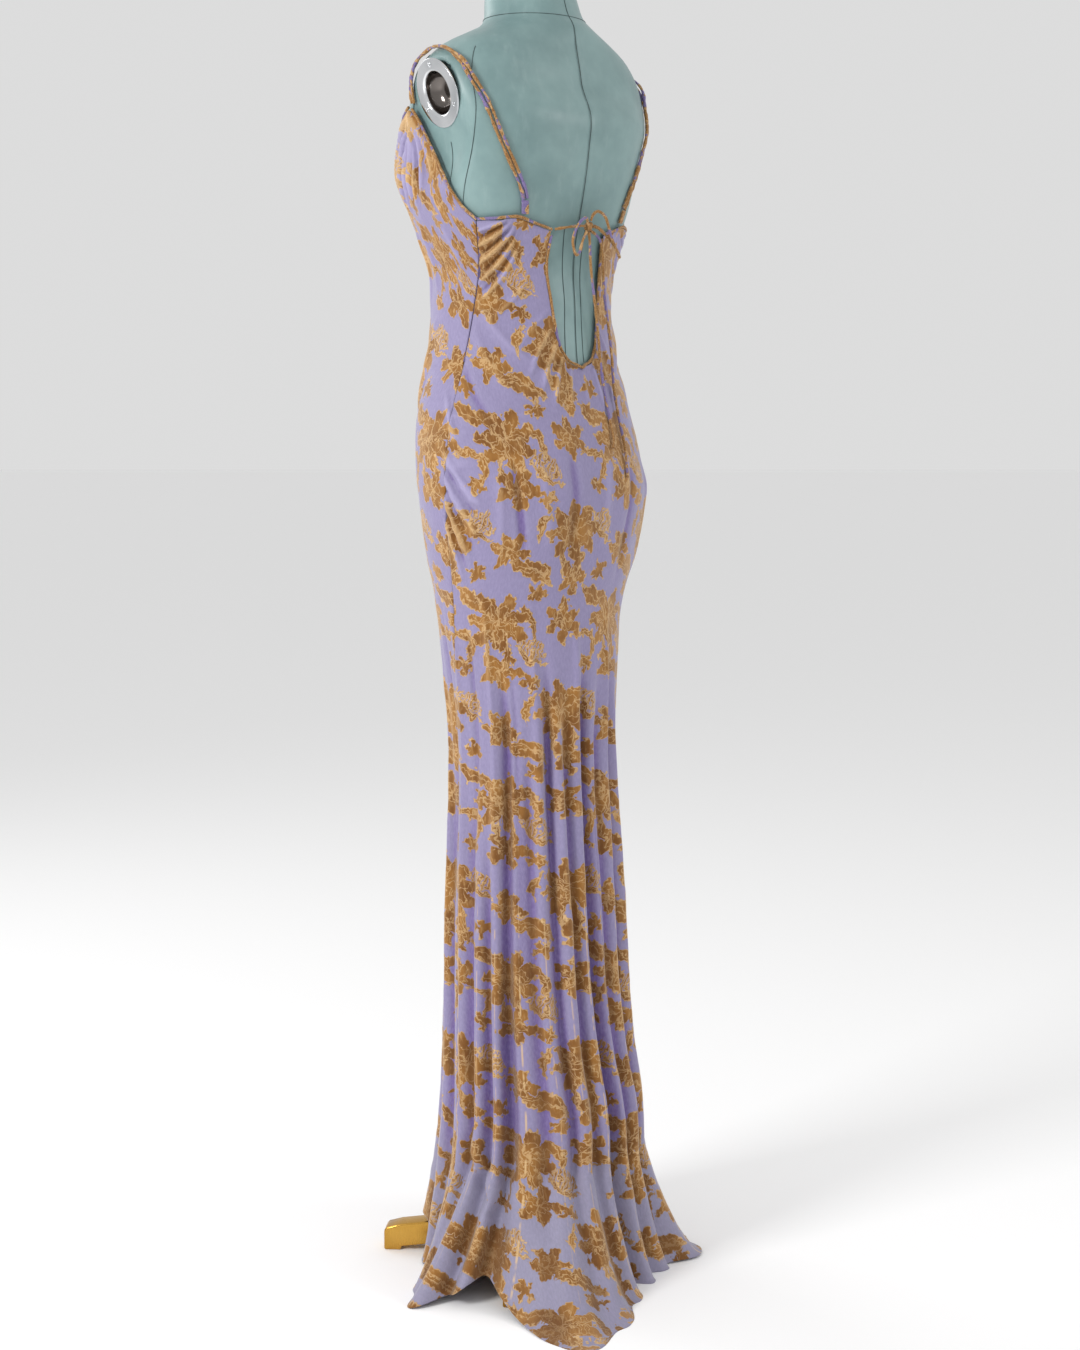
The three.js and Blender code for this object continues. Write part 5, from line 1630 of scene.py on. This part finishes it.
@dataclass
class Bow:
    """The two ties of the back: the runs, the loops, the tails and the knot."""

    finishes: Finishes
    knot: Point = (-5, 102, 1353)
    knot_radius: float = 5.2
    points: ClassVar[dict[str, list[Point]]] = {
        "tie_run_left": [(43.8, 91.6, 1347.6), (34, 97, 1349.5), (20, 101, 1352), (8, 102, 1353.2),
                         (1.2, 102, 1353.4)],
        "tie_run_right": [(-43.8, 91.6, 1347.6), (-36, 97, 1350), (-24, 100.5, 1353), (-11.2, 102, 1353.4)],
        "tie_loop_left": [(-2, 104, 1358), (5, 107.5, 1363), (17, 110.5, 1358), (26, 110.5, 1347),
                          (30.5, 109.5, 1332), (23, 107.5, 1317), (14, 105.5, 1321), (9, 105.5, 1334),
                          (1, 105, 1347)],
        "tie_loop_right": [(-6, 105, 1360), (-8, 108, 1368), (-15, 110, 1372), (-25, 112, 1366),
                           (-30, 113.5, 1353), (-36, 113, 1340), (-47, 110.5, 1326), (-57, 107, 1318),
                           (-56, 105, 1324), (-42, 107.5, 1336), (-28, 108, 1345), (-17, 108.5, 1351),
                           (-11, 106, 1354.5)],
        "tie_tail_left": [(-3.5, 104, 1346.2), (-6, 103.5, 1335), (-12, 100, 1302), (-21, 98, 1262),
                          (-28.4, 97, 1223), (-31, 98, 1191), (-33.5, 103, 1152), (-36, 110, 1117),
                          (-36, 118, 1091), (-30, 122.5, 1078)],
        "tie_tail_right": [(-9.1, 102, 1348.3), (-18, 102, 1344.5), (-27, 101, 1338), (-32.5, 100, 1325),
                           (-35.5, 99, 1300), (-38, 98.5, 1273), (-46, 98.5, 1230), (-51.5, 99, 1197),
                           (-53.5, 101, 1157), (-56, 107.5, 1117), (-56, 119, 1078), (-50, 129, 1041)],
    }

    def build_knot(self) -> Piece:
        """The knot: the tie wound round itself over a soft core."""
        work = bmesh.new()
        bmesh.ops.create_uvsphere(work, u_segments=20, v_segments=14, radius=self.knot_radius * 0.82 * MM)
        bmesh.ops.translate(work, verts=work.verts, vec=Vector(to_frame(np.array(self.knot))))
        core = from_bmesh("tie_knot", work, (self.finishes.cord,))
        turns = np.linspace(0, 2 * math.pi * 2.2, 60)
        wrap = np.stack([
            self.knot[0] + (turns / turns[-1] - 0.5) * 6.0,
            self.knot[1] + (self.knot_radius - 1.4) * np.cos(turns),
            self.knot[2] + (self.knot_radius - 1.0) * np.sin(turns),
        ], axis=-1)
        wound = tube("tie_knot_wrap", wrap, TIE_RADIUS, self.finishes.cord, 9.0)
        return join(core, wound)

    def build(self) -> list[Piece]:
        """Makes the bow and its cords.

        Returns:
            The pieces.
        """
        made = [dress_piece(self.build_knot(), ["tie_knot"])]
        for seed, (name, points) in enumerate(self.points.items()):
            route = cord_points(points, 12 * len(points))
            piece = tube(name, route, TIE_RADIUS, self.finishes.cord, seed * 3.7)
            dress_piece(piece, [name])
            made.append(piece)
        return made


def join(first: Piece, *others: Piece) -> Piece:
    """Joins meshes into the first one.

    Args:
        first: The piece that is kept.
        *others: Pieces whose meshes are taken in.

    Returns:
        The joined piece.
    """
    work = bmesh.new()
    work.from_mesh(first.data)
    for other in others:
        offset = len(first.data.materials)
        names = [material.name for material in first.data.materials]
        start = len(work.faces)
        work.from_mesh(other.data)
        work.faces.ensure_lookup_table()
        for face in work.faces[start:]:
            material = other.data.materials[min(face.material_index, len(other.data.materials) - 1)]
            if material.name in names:
                face.material_index = names.index(material.name)
            else:
                first.data.materials.append(material)
                names.append(material.name)
                face.material_index = offset
                offset += 1
        bpy.data.objects.remove(other)
    work.to_mesh(first.data)
    work.free()
    first.data.polygons.foreach_set("use_smooth", [True] * len(first.data.polygons))
    return first


@dataclass
class Trims:
    """Bindings, strap tabs and straps, and the zip."""

    finishes: Finishes
    tab_low: float = 1363.4
    tab_high: float = 1379.6
    tab_t: float = 32.5
    tab_half_width: float = 4.9
    tab_ease: float = 4.6
    twist_start: float = 0.36
    twist_end: float = 0.74
    strap_radius: float = 2.6
    rises: int = 60

    def edge(self, panel: Panel, u: Array, s: Array) -> Array:
        """Middle line of a binding on a panel's edge.

        Args:
            panel: The panel.
            u: Places across.
            s: Places up.

        Returns:
            Points in millimetres.
        """
        step = 1e-3
        _, points = panel.surface(u, s)
        _, right = panel.surface(np.clip(u + step, 0, 1), s)
        _, left = panel.surface(np.clip(u - step, 0, 1), s)
        _, low = panel.surface(u, s - step)
        normal = unit(np.cross(points - low, right - left))
        along = unit(np.gradient(points, axis=0))
        out = unit(np.cross(along, normal))
        return points + out * (BINDING_RADIUS + BINDING_REST)

    def binding(self, name: str, points: Array, trims: tuple[float, float], seed: float) -> Piece:
        """A rounded binding, cut short at its ends.

        Args:
            name: Name of the piece and of the node that it replaces.
            points: Its middle line in millimetres.
            trims: How much is cut off its start and end, in millimetres.
            seed: Shift of its unevenness.

        Returns:
            The piece.
        """
        lengths = np.concatenate([[0], np.cumsum(np.linalg.norm(np.diff(points, axis=0), axis=1))])
        places = np.arange(trims[0], lengths[-1] - trims[1], 1.8)
        route = np.stack([np.interp(places, lengths, points[:, axis]) for axis in range(3)], axis=-1)
        made = tube(name, route, BINDING_RADIUS + 0.15, self.finishes.cord, seed, 3, 0.12)
        return dress_piece(made, [name])

    def build_bindings(self) -> list[Piece]:
        """Makes the bindings of the top edges and of the keyhole.

        Returns:
            The pieces.
        """
        front, left, right = FrontPanel(), BackPanel(1), BackPanel(-1)
        peak = STRAP_SHARE
        spans = {
            "armhole_binding_left": (front, 0, peak, (0.3, 3.2)),
            "neckline_binding": (front, peak, 1 - peak, (3.2, 3.2)),
            "armhole_binding_right": (front, 1 - peak, 1, (3.2, 2.0)),
            "back_top_binding_right": (right, 0, 0.5 - 1e-6, (2.0, 0.3)),
            "back_top_binding_left": (left, 0.5 + 1e-6, 1, (0.3, 0.3)),
        }
        made = []
        for seed, (name, (panel, start, end, trims)) in enumerate(spans.items()):
            u = np.linspace(start, end, 90)
            made.append(self.binding(name, self.edge(panel, u, np.full_like(u, 2.0)), trims, seed * 2.3))
        climb = np.linspace(2, 1.001, self.rises)
        down = self.edge(right, np.full_like(climb, 0.5 - 2e-6), climb)
        up = self.edge(left, np.full_like(climb, 0.5 + 2e-6), climb[::-1])
        made.append(self.binding("keyhole_binding", np.concatenate([down, up]), (3.4, 3.4), 13.0))
        return made

    def strap(self, side: int, cord: int) -> Array:
        """Route of one cord of a strap.

        Args:
            side: 1 for the left strap, -1 for the right.
            cord: 1 or -1 for the two cords.

        Returns:
            Points in millimetres.
        """
        share = np.linspace(0, 1, 121)
        step = share * (len(STRAP_ROUTE.data) - 1)
        z, t, lift = (STRAP_ROUTE.read(name, step) for name in ("z", "t", "lift"))
        normal = form_normal(t, z)
        middle = form_surface(t, z) + normal * (CORD_RADIUS + CORD_REST + lift)[:, None]
        across = unit(np.cross(np.gradient(middle, axis=0), normal))
        turn = np.pi * smoothstep(share, self.twist_start, self.twist_end)
        half = PAIR_SPACING / 2
        point = middle + across * (cord * half * np.cos(turn))[:, None]
        point = point + normal * (cord * half * np.sin(turn) + half * np.sin(turn))[:, None]
        point[:, 0] *= side
        return point

    def build_straps(self) -> list[Piece]:
        """Makes the four strap cords and the two tabs.

        Returns:
            The pieces.
        """
        made = []
        for side, hand in ((1, "left"), (-1, "right")):
            for cord, letter in ((1, "a"), (-1, "b")):
                name = f"strap_{hand}_{letter}"
                route, seed = self.strap(side, cord), side * 5 + cord
                piece = tube(name, route, self.strap_radius, self.finishes.cord, seed, 3, 0.22)
                made.append(dress_piece(piece, [name]))
            made.append(self.tab(hand, side))
        return made

    def tab(self, hand: str, side: int) -> Piece:
        """A strap tab: a short flat loop of cloth with a soft edge."""
        columns, rows = 12, 18
        work = sheet_grid(columns, rows)
        for vert in work.verts:
            across, up = vert.co.x, vert.co.y
            z = self.tab_low + (self.tab_high - self.tab_low) * up
            t = side * self.tab_t + (across - 0.5) * 2 * self.tab_half_width * float(degrees_per_mm(
                np.array(self.tab_t), np.array(z)))
            swell = 1.0 - 0.8 * abs(2 * across - 1) ** 3 + 0.25 * math.sin(up * 9 + 4 * across)
            point = form_surface(np.array(t), np.array(z), self.tab_ease - 0.4 + 0.5 * swell)
            vert.co = Vector(to_frame(point))
        made = from_bmesh(f"strap_tab_{hand}", work, (self.finishes.cord,))
        wall = made.modifiers.new("wall", "SOLIDIFY")
        wall.thickness = 2.6 * MM
        wall.offset = -1
        edge = made.modifiers.new("edge", "BEVEL")
        edge.width, edge.segments = 0.7 * MM, 2
        bake_modifiers(made)
        return dress_piece(made, [f"strap_tab_{hand}"])

    def build_zip(self) -> Piece:
        """The concealed zip: two folds of tape that meet along the seam.

        Returns:
            The piece.
        """
        columns, rows = 12, 120
        half = 1.75
        work = sheet_grid(columns, rows)
        for vert in work.verts:
            across, up = 2 * vert.co.x - 1, vert.co.y
            z = KEYHOLE_FOOT + (1355 - KEYHOLE_FOOT) * (0.04 + 0.955 * up)
            seam = SIDE_SEAM.read("t", np.array(z))
            t = seam + across * half * degrees_per_mm(seam, np.array(z))
            groove = 0.9 * math.exp(-(across / 0.16) ** 2) + 0.5 * abs(across) ** 4
            point = form_surface(t, np.array(z), AIR + WALL + 0.3 - groove)
            vert.co = Vector(to_frame(point))
        made = from_bmesh("side_zip", work, (self.finishes.tape,))
        wall = made.modifiers.new("wall", "SOLIDIFY")
        wall.thickness, wall.offset = 1.0 * MM, -1
        bake_modifiers(made)
        return dress_piece(made, ["side_zip"])


@dataclass
class Lining:
    """The plain lining inside the skirt."""

    finishes: Finishes
    low: float = 163.0
    high: float = 850.0
    rings = Table("z inset", [
        [163, 36],
        [300, 32],
        [450, 27],
        [600, 22],
        [690, 17.5],
        [780, 12],
        [850, 2.4],
    ])

    def build(self) -> Piece:
        """Makes the tube of lining, open at both ends.

        Returns:
            The piece.
        """
        columns, rows = 144, 90
        work = sheet_grid(columns, rows)
        places = [(v.co.x, v.co.y) for v in work.verts]
        x, up = (np.array(values) for values in zip(*places))
        t, z = 360 * x, self.low + (self.high - self.low) * up
        inset = self.rings.read("inset", z)
        wave = 2.6 * np.sin(np.radians(9 * t + 40 * np.sin(z / 160))) * (1 - smoothstep(z, 560, 780))
        sides = [SKIRT_RINGS.read(name, z) for name in SKIRT_RINGS.names[1:]]
        width, depth = sides[0] - inset + wave, sides[1] - inset + wave
        across, along = section(t, width, depth, sides[2], np.full_like(z, 2.0))
        points = to_frame(plan(across, along, z))
        for vert, point in zip(work.verts, points):
            vert.co = Vector(point)
        bmesh.ops.remove_doubles(work, verts=work.verts, dist=1e-5)
        made = from_bmesh("lining_skirt", work, (self.finishes.lining,))
        wall = made.modifiers.new("wall", "SOLIDIFY")
        wall.thickness, wall.offset = 0.8 * MM, -1
        bake_modifiers(made)
        return dress_piece(made, ["lining_skirt"])


@dataclass
class Form:
    """The limbless form with its arm plates and neck cap."""

    finishes: Finishes
    seam_columns: tuple[float, ...] = (-1.4, -0.8, -0.45, -0.2, 0.0, 0.2, 0.45, 0.8, 1.4)
    bowl_radius: float = 25.7
    profile = Table("step radius height", [
        [0, 0.2, -18.9],
        [1, 7, -18.8],
        [2, 13, -18.2],
        [3, 18, -15.8],
        [4, 22, -11.5],
        [5, 24.6, -6.5],
        [6, 25.8, -2],
        [7, 26.6, 0],
        [8, 28.2, 1.1],
        [9, 30, 1.3],
        [10, 40.6, 1.2],
        [11, 42, 0.7],
        [12, 42.5, -0.3],
        [13, 42.4, -1],
    ])
    seams: ClassVar[dict[str, list[tuple[float, float]]]] = {
        "arm_back": [(64, 1562), (60, 1530), (60, 1500), (63, 1465), (68, 1425), (73, 1390), (76, 1362)],
        "arm_front": [(112, 1560), (116, 1530), (119, 1500), (120, 1470)],
        "neck": [(angle, 1612) for angle in range(-180, 181, 15)],
        "back": [(0, 1700), (0, 1620), (0, 1540), (0, 1460), (0, 1380), (0, 1300), (0, 1220), (0, 1100)],
        "side": [(88, 1452), (86, 1420), (84, 1385), (82, 1362)],
        "back_left": [(7, 1352), (7.5, 1300), (8, 1240), (8, 1186)],
        "back_right": [(-4, 1352), (-4.5, 1300), (-5, 1240), (-5, 1186)],
    }

    def build_torso(self) -> Piece:
        """The torso with its centre back seam sunk in, and a round dip pressed in under each arm plate.

        Returns:
            The piece.
        """
        even = np.arange(2.5, 358, 2.5)
        before = [360 + column for column in self.seam_columns if column < 0]
        angles = np.concatenate([[column for column in self.seam_columns if column >= 0], even, before])
        heights = np.concatenate([np.arange(858, 1712, 6.5), [1712]])
        columns, rows = len(angles), len(heights) - 1
        work = sheet_grid(columns, rows)
        closed = np.concatenate([angles, [360]])
        t, z = np.meshgrid(closed, heights)
        turn = (t + 180) % 360 - 180
        groove = 0.9 * np.exp(-(turn / 0.45) ** 2) * smoothstep(z, 1060, 1090)
        lips = 0.25 * np.exp(-((np.abs(turn) - 1.0) / 0.5) ** 2)
        points = to_frame(form_surface(t, z, lips - groove - 0.15))
        for vert in work.verts:
            vert.co = Vector(points[round(vert.co.y * rows), round(vert.co.x * columns)])
        bmesh.ops.remove_doubles(work, verts=work.verts, dist=1e-6)
        rims = [edge for edge in work.edges if edge.is_boundary]
        bmesh.ops.holes_fill(work, edges=rims, sides=0)
        for side in (1, -1):
            self.sink_plate(work, side)
        bmesh.ops.recalc_face_normals(work, faces=work.faces)
        made = from_bmesh("form_torso", work, (self.finishes.leather,))
        return dress_piece(made, ["form_torso"])

    def sink_plate(self, work: Work, side: int) -> None:
        """Presses the leather in under an arm plate, so that its bowl shows.

        Args:
            work: The torso.
            side: 1 for the left plate, -1 for the right.
        """
        centre, axis = self.plate_place(side)
        for vert in work.verts:
            away = vert.co - centre
            up = away.dot(axis)
            radius = (away - axis * up).length
            if radius < 38 * MM and abs(up) < 40 * MM:
                share = float(1 - smoothstep(np.array(radius / MM), 31, 38))
                vert.co -= axis * (24 * MM + up) * share

    @staticmethod
    def plate_place(side: int) -> tuple[Vector, Vector]:
        """Middle and outward axis of an arm plate."""
        x, y, z = ArmPlate.centre
        centre = Vector(to_frame(np.array([side * x, y, z], dtype=float)))
        axis = Vector((side * ArmPlate.normal[0], ArmPlate.normal[1], ArmPlate.normal[2])).normalized()
        return centre, axis

    def build_plate(self, hand: str, side: int) -> Piece:
        """An arm plate: a polished bowl with a flat rim, a rolled edge and three screws.

        Args:
            hand: left or right.
            side: 1 or -1.

        Returns:
            The piece.
        """
        steps = np.linspace(0, 13, 53)
        radius, height = self.profile.read("radius", steps), self.profile.read("height", steps)
        work = bmesh.new()
        line = [work.verts.new((r * MM, 0, h * MM)) for r, h in zip(radius, height)]
        edges = [work.edges.new(pair) for pair in zip(line, line[1:])]
        bmesh.ops.spin(work, geom=line + edges, cent=(0, 0, 0), axis=(0, 0, 1), angle=2 * math.pi, steps=72,
                       use_merge=True)
        bmesh.ops.remove_doubles(work, verts=work.verts, dist=1e-6)
        bmesh.ops.recalc_face_normals(work, faces=work.faces)
        if sum(face.normal.z * face.calc_area() for face in work.faces) < 0:
            bmesh.ops.reverse_faces(work, faces=work.faces)
        for face in work.faces:
            face.material_index = int(math.hypot(*face.calc_center_median().xy) < self.bowl_radius * MM)
        for number in range(3):
            self.screw(work, math.radians(90 + 120 * number), 34.5 * MM)
        centre, axis = self.plate_place(side)
        turn = axis.to_track_quat("Z", "Y").to_matrix().to_4x4()
        bmesh.ops.transform(work, matrix=Matrix.Translation(centre) @ turn, verts=work.verts)
        made = from_bmesh(f"arm_plate_{hand}", work, (self.finishes.plate, self.finishes.bowl))
        return dress_piece(made, [f"arm_plate_{hand}"])

    @staticmethod
    def screw(work: Work, angle: float, reach: float) -> None:
        """A screw head with a sunk middle and a rounded edge on the plate's rim."""
        place = Matrix.Translation((reach * math.cos(angle), reach * math.sin(angle), 1.6 * MM))
        made = bmesh.ops.create_cone(work, cap_ends=True, segments=20, radius1=3.6 * MM, radius2=3.0 * MM,
                                     depth=1.0 * MM, matrix=place @ Matrix.Rotation(angle, 4, "Z"))
        near = {face for vert in made["verts"] for face in vert.link_faces}
        top = [face for face in near if len(face.verts) > 4 and face.normal.z > 0.5]
        bmesh.ops.inset_region(work, faces=top, thickness=1.1 * MM, depth=0)
        bmesh.ops.inset_region(work, faces=top, thickness=0.3 * MM, depth=-0.5 * MM)

    def build_cap(self) -> Piece:
        """The plain leather cap over the neck.

        Returns:
            The piece.
        """
        profile = Table("step z share", [
            [0, 1712.3, 0.99], [1, 1714, 1.0], [2, 1719, 0.995], [3, 1724, 0.93], [4, 1728, 0.78],
            [5, 1730.4, 0.55], [6, 1731.4, 0.3], [7, 1731.5, 0.02],
        ])
        columns, rows = 96, 28
        work = sheet_grid(columns, rows)
        neck = [BODY_RINGS.read(name, np.array(1712.0)) for name in BODY_RINGS.names[1:]]
        for vert in work.verts:
            step = 7 * vert.co.y
            share = float(profile.read("share", np.array(step)))
            x, y = section(np.array(360 * vert.co.x), neck[0] * share, neck[1] * share, neck[2], neck[3])
            z = profile.read("z", np.array(step))
            vert.co = Vector(to_frame(np.array([float(x), float(y), float(z)])))
        bmesh.ops.remove_doubles(work, verts=work.verts, dist=1e-5)
        rims = [edge for edge in work.edges if edge.is_boundary]
        bmesh.ops.holes_fill(work, edges=rims, sides=0)
        bmesh.ops.recalc_face_normals(work, faces=work.faces)
        made = from_bmesh("neck_cap", work, (self.finishes.leather,))
        return dress_piece(made, ["neck_cap"])

    def build_seams(self) -> list[Piece]:
        """Thin sewn welts along the form's seams.

        Returns:
            The pieces.
        """
        made = []
        for name, places in self.seams.items():
            for side, hand in ((1, "left"), (-1, "right")):
                if name in ("neck", "back", "back_left", "back_right") and side < 0:
                    continue
                table = Table("step t z", [[index, side * t, z] for index, (t, z) in enumerate(places)])
                steps = np.linspace(0, len(places) - 1, 14 * len(places))
                t, z = table.read("t", steps), table.read("z", steps)
                points = form_surface(t, z, 0.1)
                piece = tube(f"form_seam_{name}_{hand}", points, 0.55, self.finishes.thread, 2.0, 1, 0.1)
                made.append(dress_piece(piece, []))
        return made

    def build(self) -> None:
        """Makes the form's pieces."""
        self.build_torso()
        self.build_cap()
        for hand, side in (("left", 1), ("right", -1)):
            self.build_plate(hand, side)
        self.build_seams()


@dataclass
class Stand:
    """Pole, hub and four legs."""

    finishes: Finishes
    pole_radius: float = 16.0
    hub_radius: float = 37.0
    hub_bottom: float = 20.0
    hub_shoulder: float = 66.0
    hub_top: float = 84.0
    collar_radius: float = 23.0
    tip: float = 195.0
    half_width: float = 15.0
    sections: tuple[Point, ...] = ((160.5, 22, 54), (23.5, 5, 36), (23, 0, 36), (4, 0, 31), (0, 0, 27))
    leg_angles: ClassVar[dict[str, int]] = {
        "front_left": 140, "back_left": 50, "back_right": -40, "front_right": -130,
    }

    def upright(self, name: str, radii: tuple[float, float], low: float, high: float, sides: int,
                turn: float, soft: float) -> Piece:
        """A turned or sided post with softened rims.

        Args:
            name: Name of the piece.
            radii: Radius at the bottom and at the top, in millimetres.
            low: Height of its bottom.
            high: Height of its top.
            sides: Number of sides.
            turn: Turn about the pole in degrees.
            soft: Width of the bevel in millimetres.

        Returns:
            The mesh object.
        """
        work = bmesh.new()
        middle = Vector(to_frame(np.array([0, 0, (low + high) / 2])))
        place = Matrix.Translation(middle) @ Matrix.Rotation(math.radians(turn), 4, "Z")
        foot, head = radii[0] * MM, radii[1] * MM
        bmesh.ops.create_cone(work, cap_ends=True, segments=sides, radius1=foot, radius2=head,
                              depth=(high - low) * MM, matrix=place)
        sharp = [edge for edge in work.edges if edge.calc_face_angle(0) > 0.5]
        bmesh.ops.bevel(work, geom=sharp, offset=soft * MM, segments=3, profile=0.5, affect="EDGES",
                        material=-1)
        made = from_bmesh(name, work, (self.finishes.brass,))
        made.data.polygons.foreach_set("use_smooth", [len(face.vertices) == 4 for face in made.data.polygons])
        return made

    def build_leg(self, hand: str, angle: float) -> Piece:
        """A leg: a slim bar that runs down to a foot pad, its long edges eased.

        Args:
            hand: Where it lies.
            angle: Its angle t in degrees.

        Returns:
            The piece.
        """
        along = Vector((math.sin(math.radians(angle)), math.cos(math.radians(angle)), 0))
        across = Vector((-along.y, along.x, 0))
        work = bmesh.new()
        loops = []
        for from_tip, bottom, top in self.sections:
            wide = self.half_width
            corners = ((-wide, bottom), (-wide, top), (wide, top), (wide, bottom))
            ring = []
            for side, z in corners:
                place = along * (self.tip - from_tip) + across * side + Vector((0, 0, z))
                ring.append(work.verts.new(Vector(to_frame(np.array(place)))))
            loops.append([work.edges.new((ring[i], ring[(i + 1) % 4])) for i in range(4)])
        for first, second in zip(loops, loops[1:]):
            bmesh.ops.bridge_loops(work, edges=first + second)
        bmesh.ops.holes_fill(work, edges=[edge for edge in work.edges if edge.is_boundary], sides=4)
        bmesh.ops.recalc_face_normals(work, faces=work.faces)
        long = [edge for edge in work.edges if edge.calc_face_angle(0) > 0.6]
        bmesh.ops.bevel(work, geom=long, offset=2.2 * MM, segments=3, profile=0.5, affect="EDGES",
                        material=-1)
        made = from_bmesh(f"leg_{hand}", work, (self.finishes.brass,))
        return dress_piece(made, [f"leg_{hand}"])

    def build(self) -> None:
        """Makes the stand's pieces."""
        radii = (self.pole_radius, self.pole_radius)
        dress_piece(self.upright("pole", radii, self.hub_top + 0.3, FORM_BOTTOM - 0.3, 64, 0, 0.6),
                    ["pole"])
        sides, rims = (self.hub_radius, self.hub_radius), (self.collar_radius, self.collar_radius - 3)
        turn = 22.5 - self.leg_angles["back_left"]
        block = self.upright("base_hub", sides, self.hub_bottom, self.hub_shoulder, 8, turn, 1.6)
        collar = self.upright("base_hub_collar", rims, self.hub_shoulder - 2, self.hub_top, 48, 0, 1.0)
        dress_piece(join(block, collar), ["base_hub"])
        for hand, angle in self.leg_angles.items():
            self.build_leg(hand, angle)


@dataclass
class Studio:
    """Camera, lights and floor."""

    distance: float = 2.8
    height: float = 1.1
    pitch: float = 6.48
    lens: float = 57.36
    image_shift: float = 0.0153
    lights: tuple = (
        ((2.9, -0.3, 2.1), 0.9, 58.0),
        ((-1.6, 2.9, 2.2), 1.2, 22.0),
        ((0.2, -2.8, 2.6), 1.4, 18.0),
    )

    def build_camera(self) -> None:
        """Places the camera behind and to the wearer's left."""
        diagonal = math.sqrt(0.5)
        camera = bpy.data.cameras.new("camera")
        camera.lens = self.lens
        camera.sensor_width = 36
        camera.sensor_fit = "AUTO"
        camera.clip_end = 60
        holder = bpy.data.objects.new("camera", camera)
        reach, side = self.distance * diagonal, self.image_shift * diagonal
        holder.location = (AXIS[0] + reach - side, AXIS[1] + reach + side, self.height)
        low = math.radians(self.pitch)
        aim = Vector((-math.cos(low) * diagonal, -math.cos(low) * diagonal, -math.sin(low)))
        holder.rotation_euler = aim.to_track_quat("-Z", "Y").to_euler()
        bpy.context.scene.collection.objects.link(holder)
        bpy.context.scene.camera = holder

    def build_stage(self, finish: Finish) -> None:
        """Lays the floor and hangs the lights.

        Args:
            finish: The floor's finish.
        """
        work = bmesh.new()
        bmesh.ops.create_grid(work, x_segments=2, y_segments=2, size=60)
        floor = from_bmesh("floor", work, (finish,))
        for number, (place, size, power) in enumerate(self.lights):
            lamp = bpy.data.lights.new(f"softbox_{number}", "AREA")
            lamp.energy, lamp.size = power, size
            holder = bpy.data.objects.new(lamp.name, lamp)
            holder.location = place
            holder.rotation_euler = (Vector((0, 0, 0.9)) - Vector(place)).to_track_quat("-Z", "Y").to_euler()
            bpy.context.scene.collection.objects.link(holder)
        world = bpy.data.worlds.new("studio")
        world.use_nodes = True
        back = world.node_tree.nodes["Background"]
        back.inputs[0].default_value = (1, 1, 1, 1)
        back.inputs[1].default_value = 0.72
        bpy.context.scene.world = world
        bpy.context.scene.view_settings.view_transform = "Standard"


def main() -> None:
    """Builds the camera, the ties, the dress, the form and the stand."""
    logging.basicConfig(level=logging.INFO, format="%(message)s")
    studio = Studio()
    studio.build_camera()
    finishes = Finishes()
    Bow(finishes).build()
    back, front = DressPanels(finishes).build()
    trims = Trims(finishes)
    trims.build_bindings()
    trims.build_straps()
    trims.build_zip()
    lining = Lining(finishes).build()
    Form(finishes).build()
    Stand(finishes).build()
    studio.build_stage(finishes.floor)


if __name__ == "__main__":
    main()
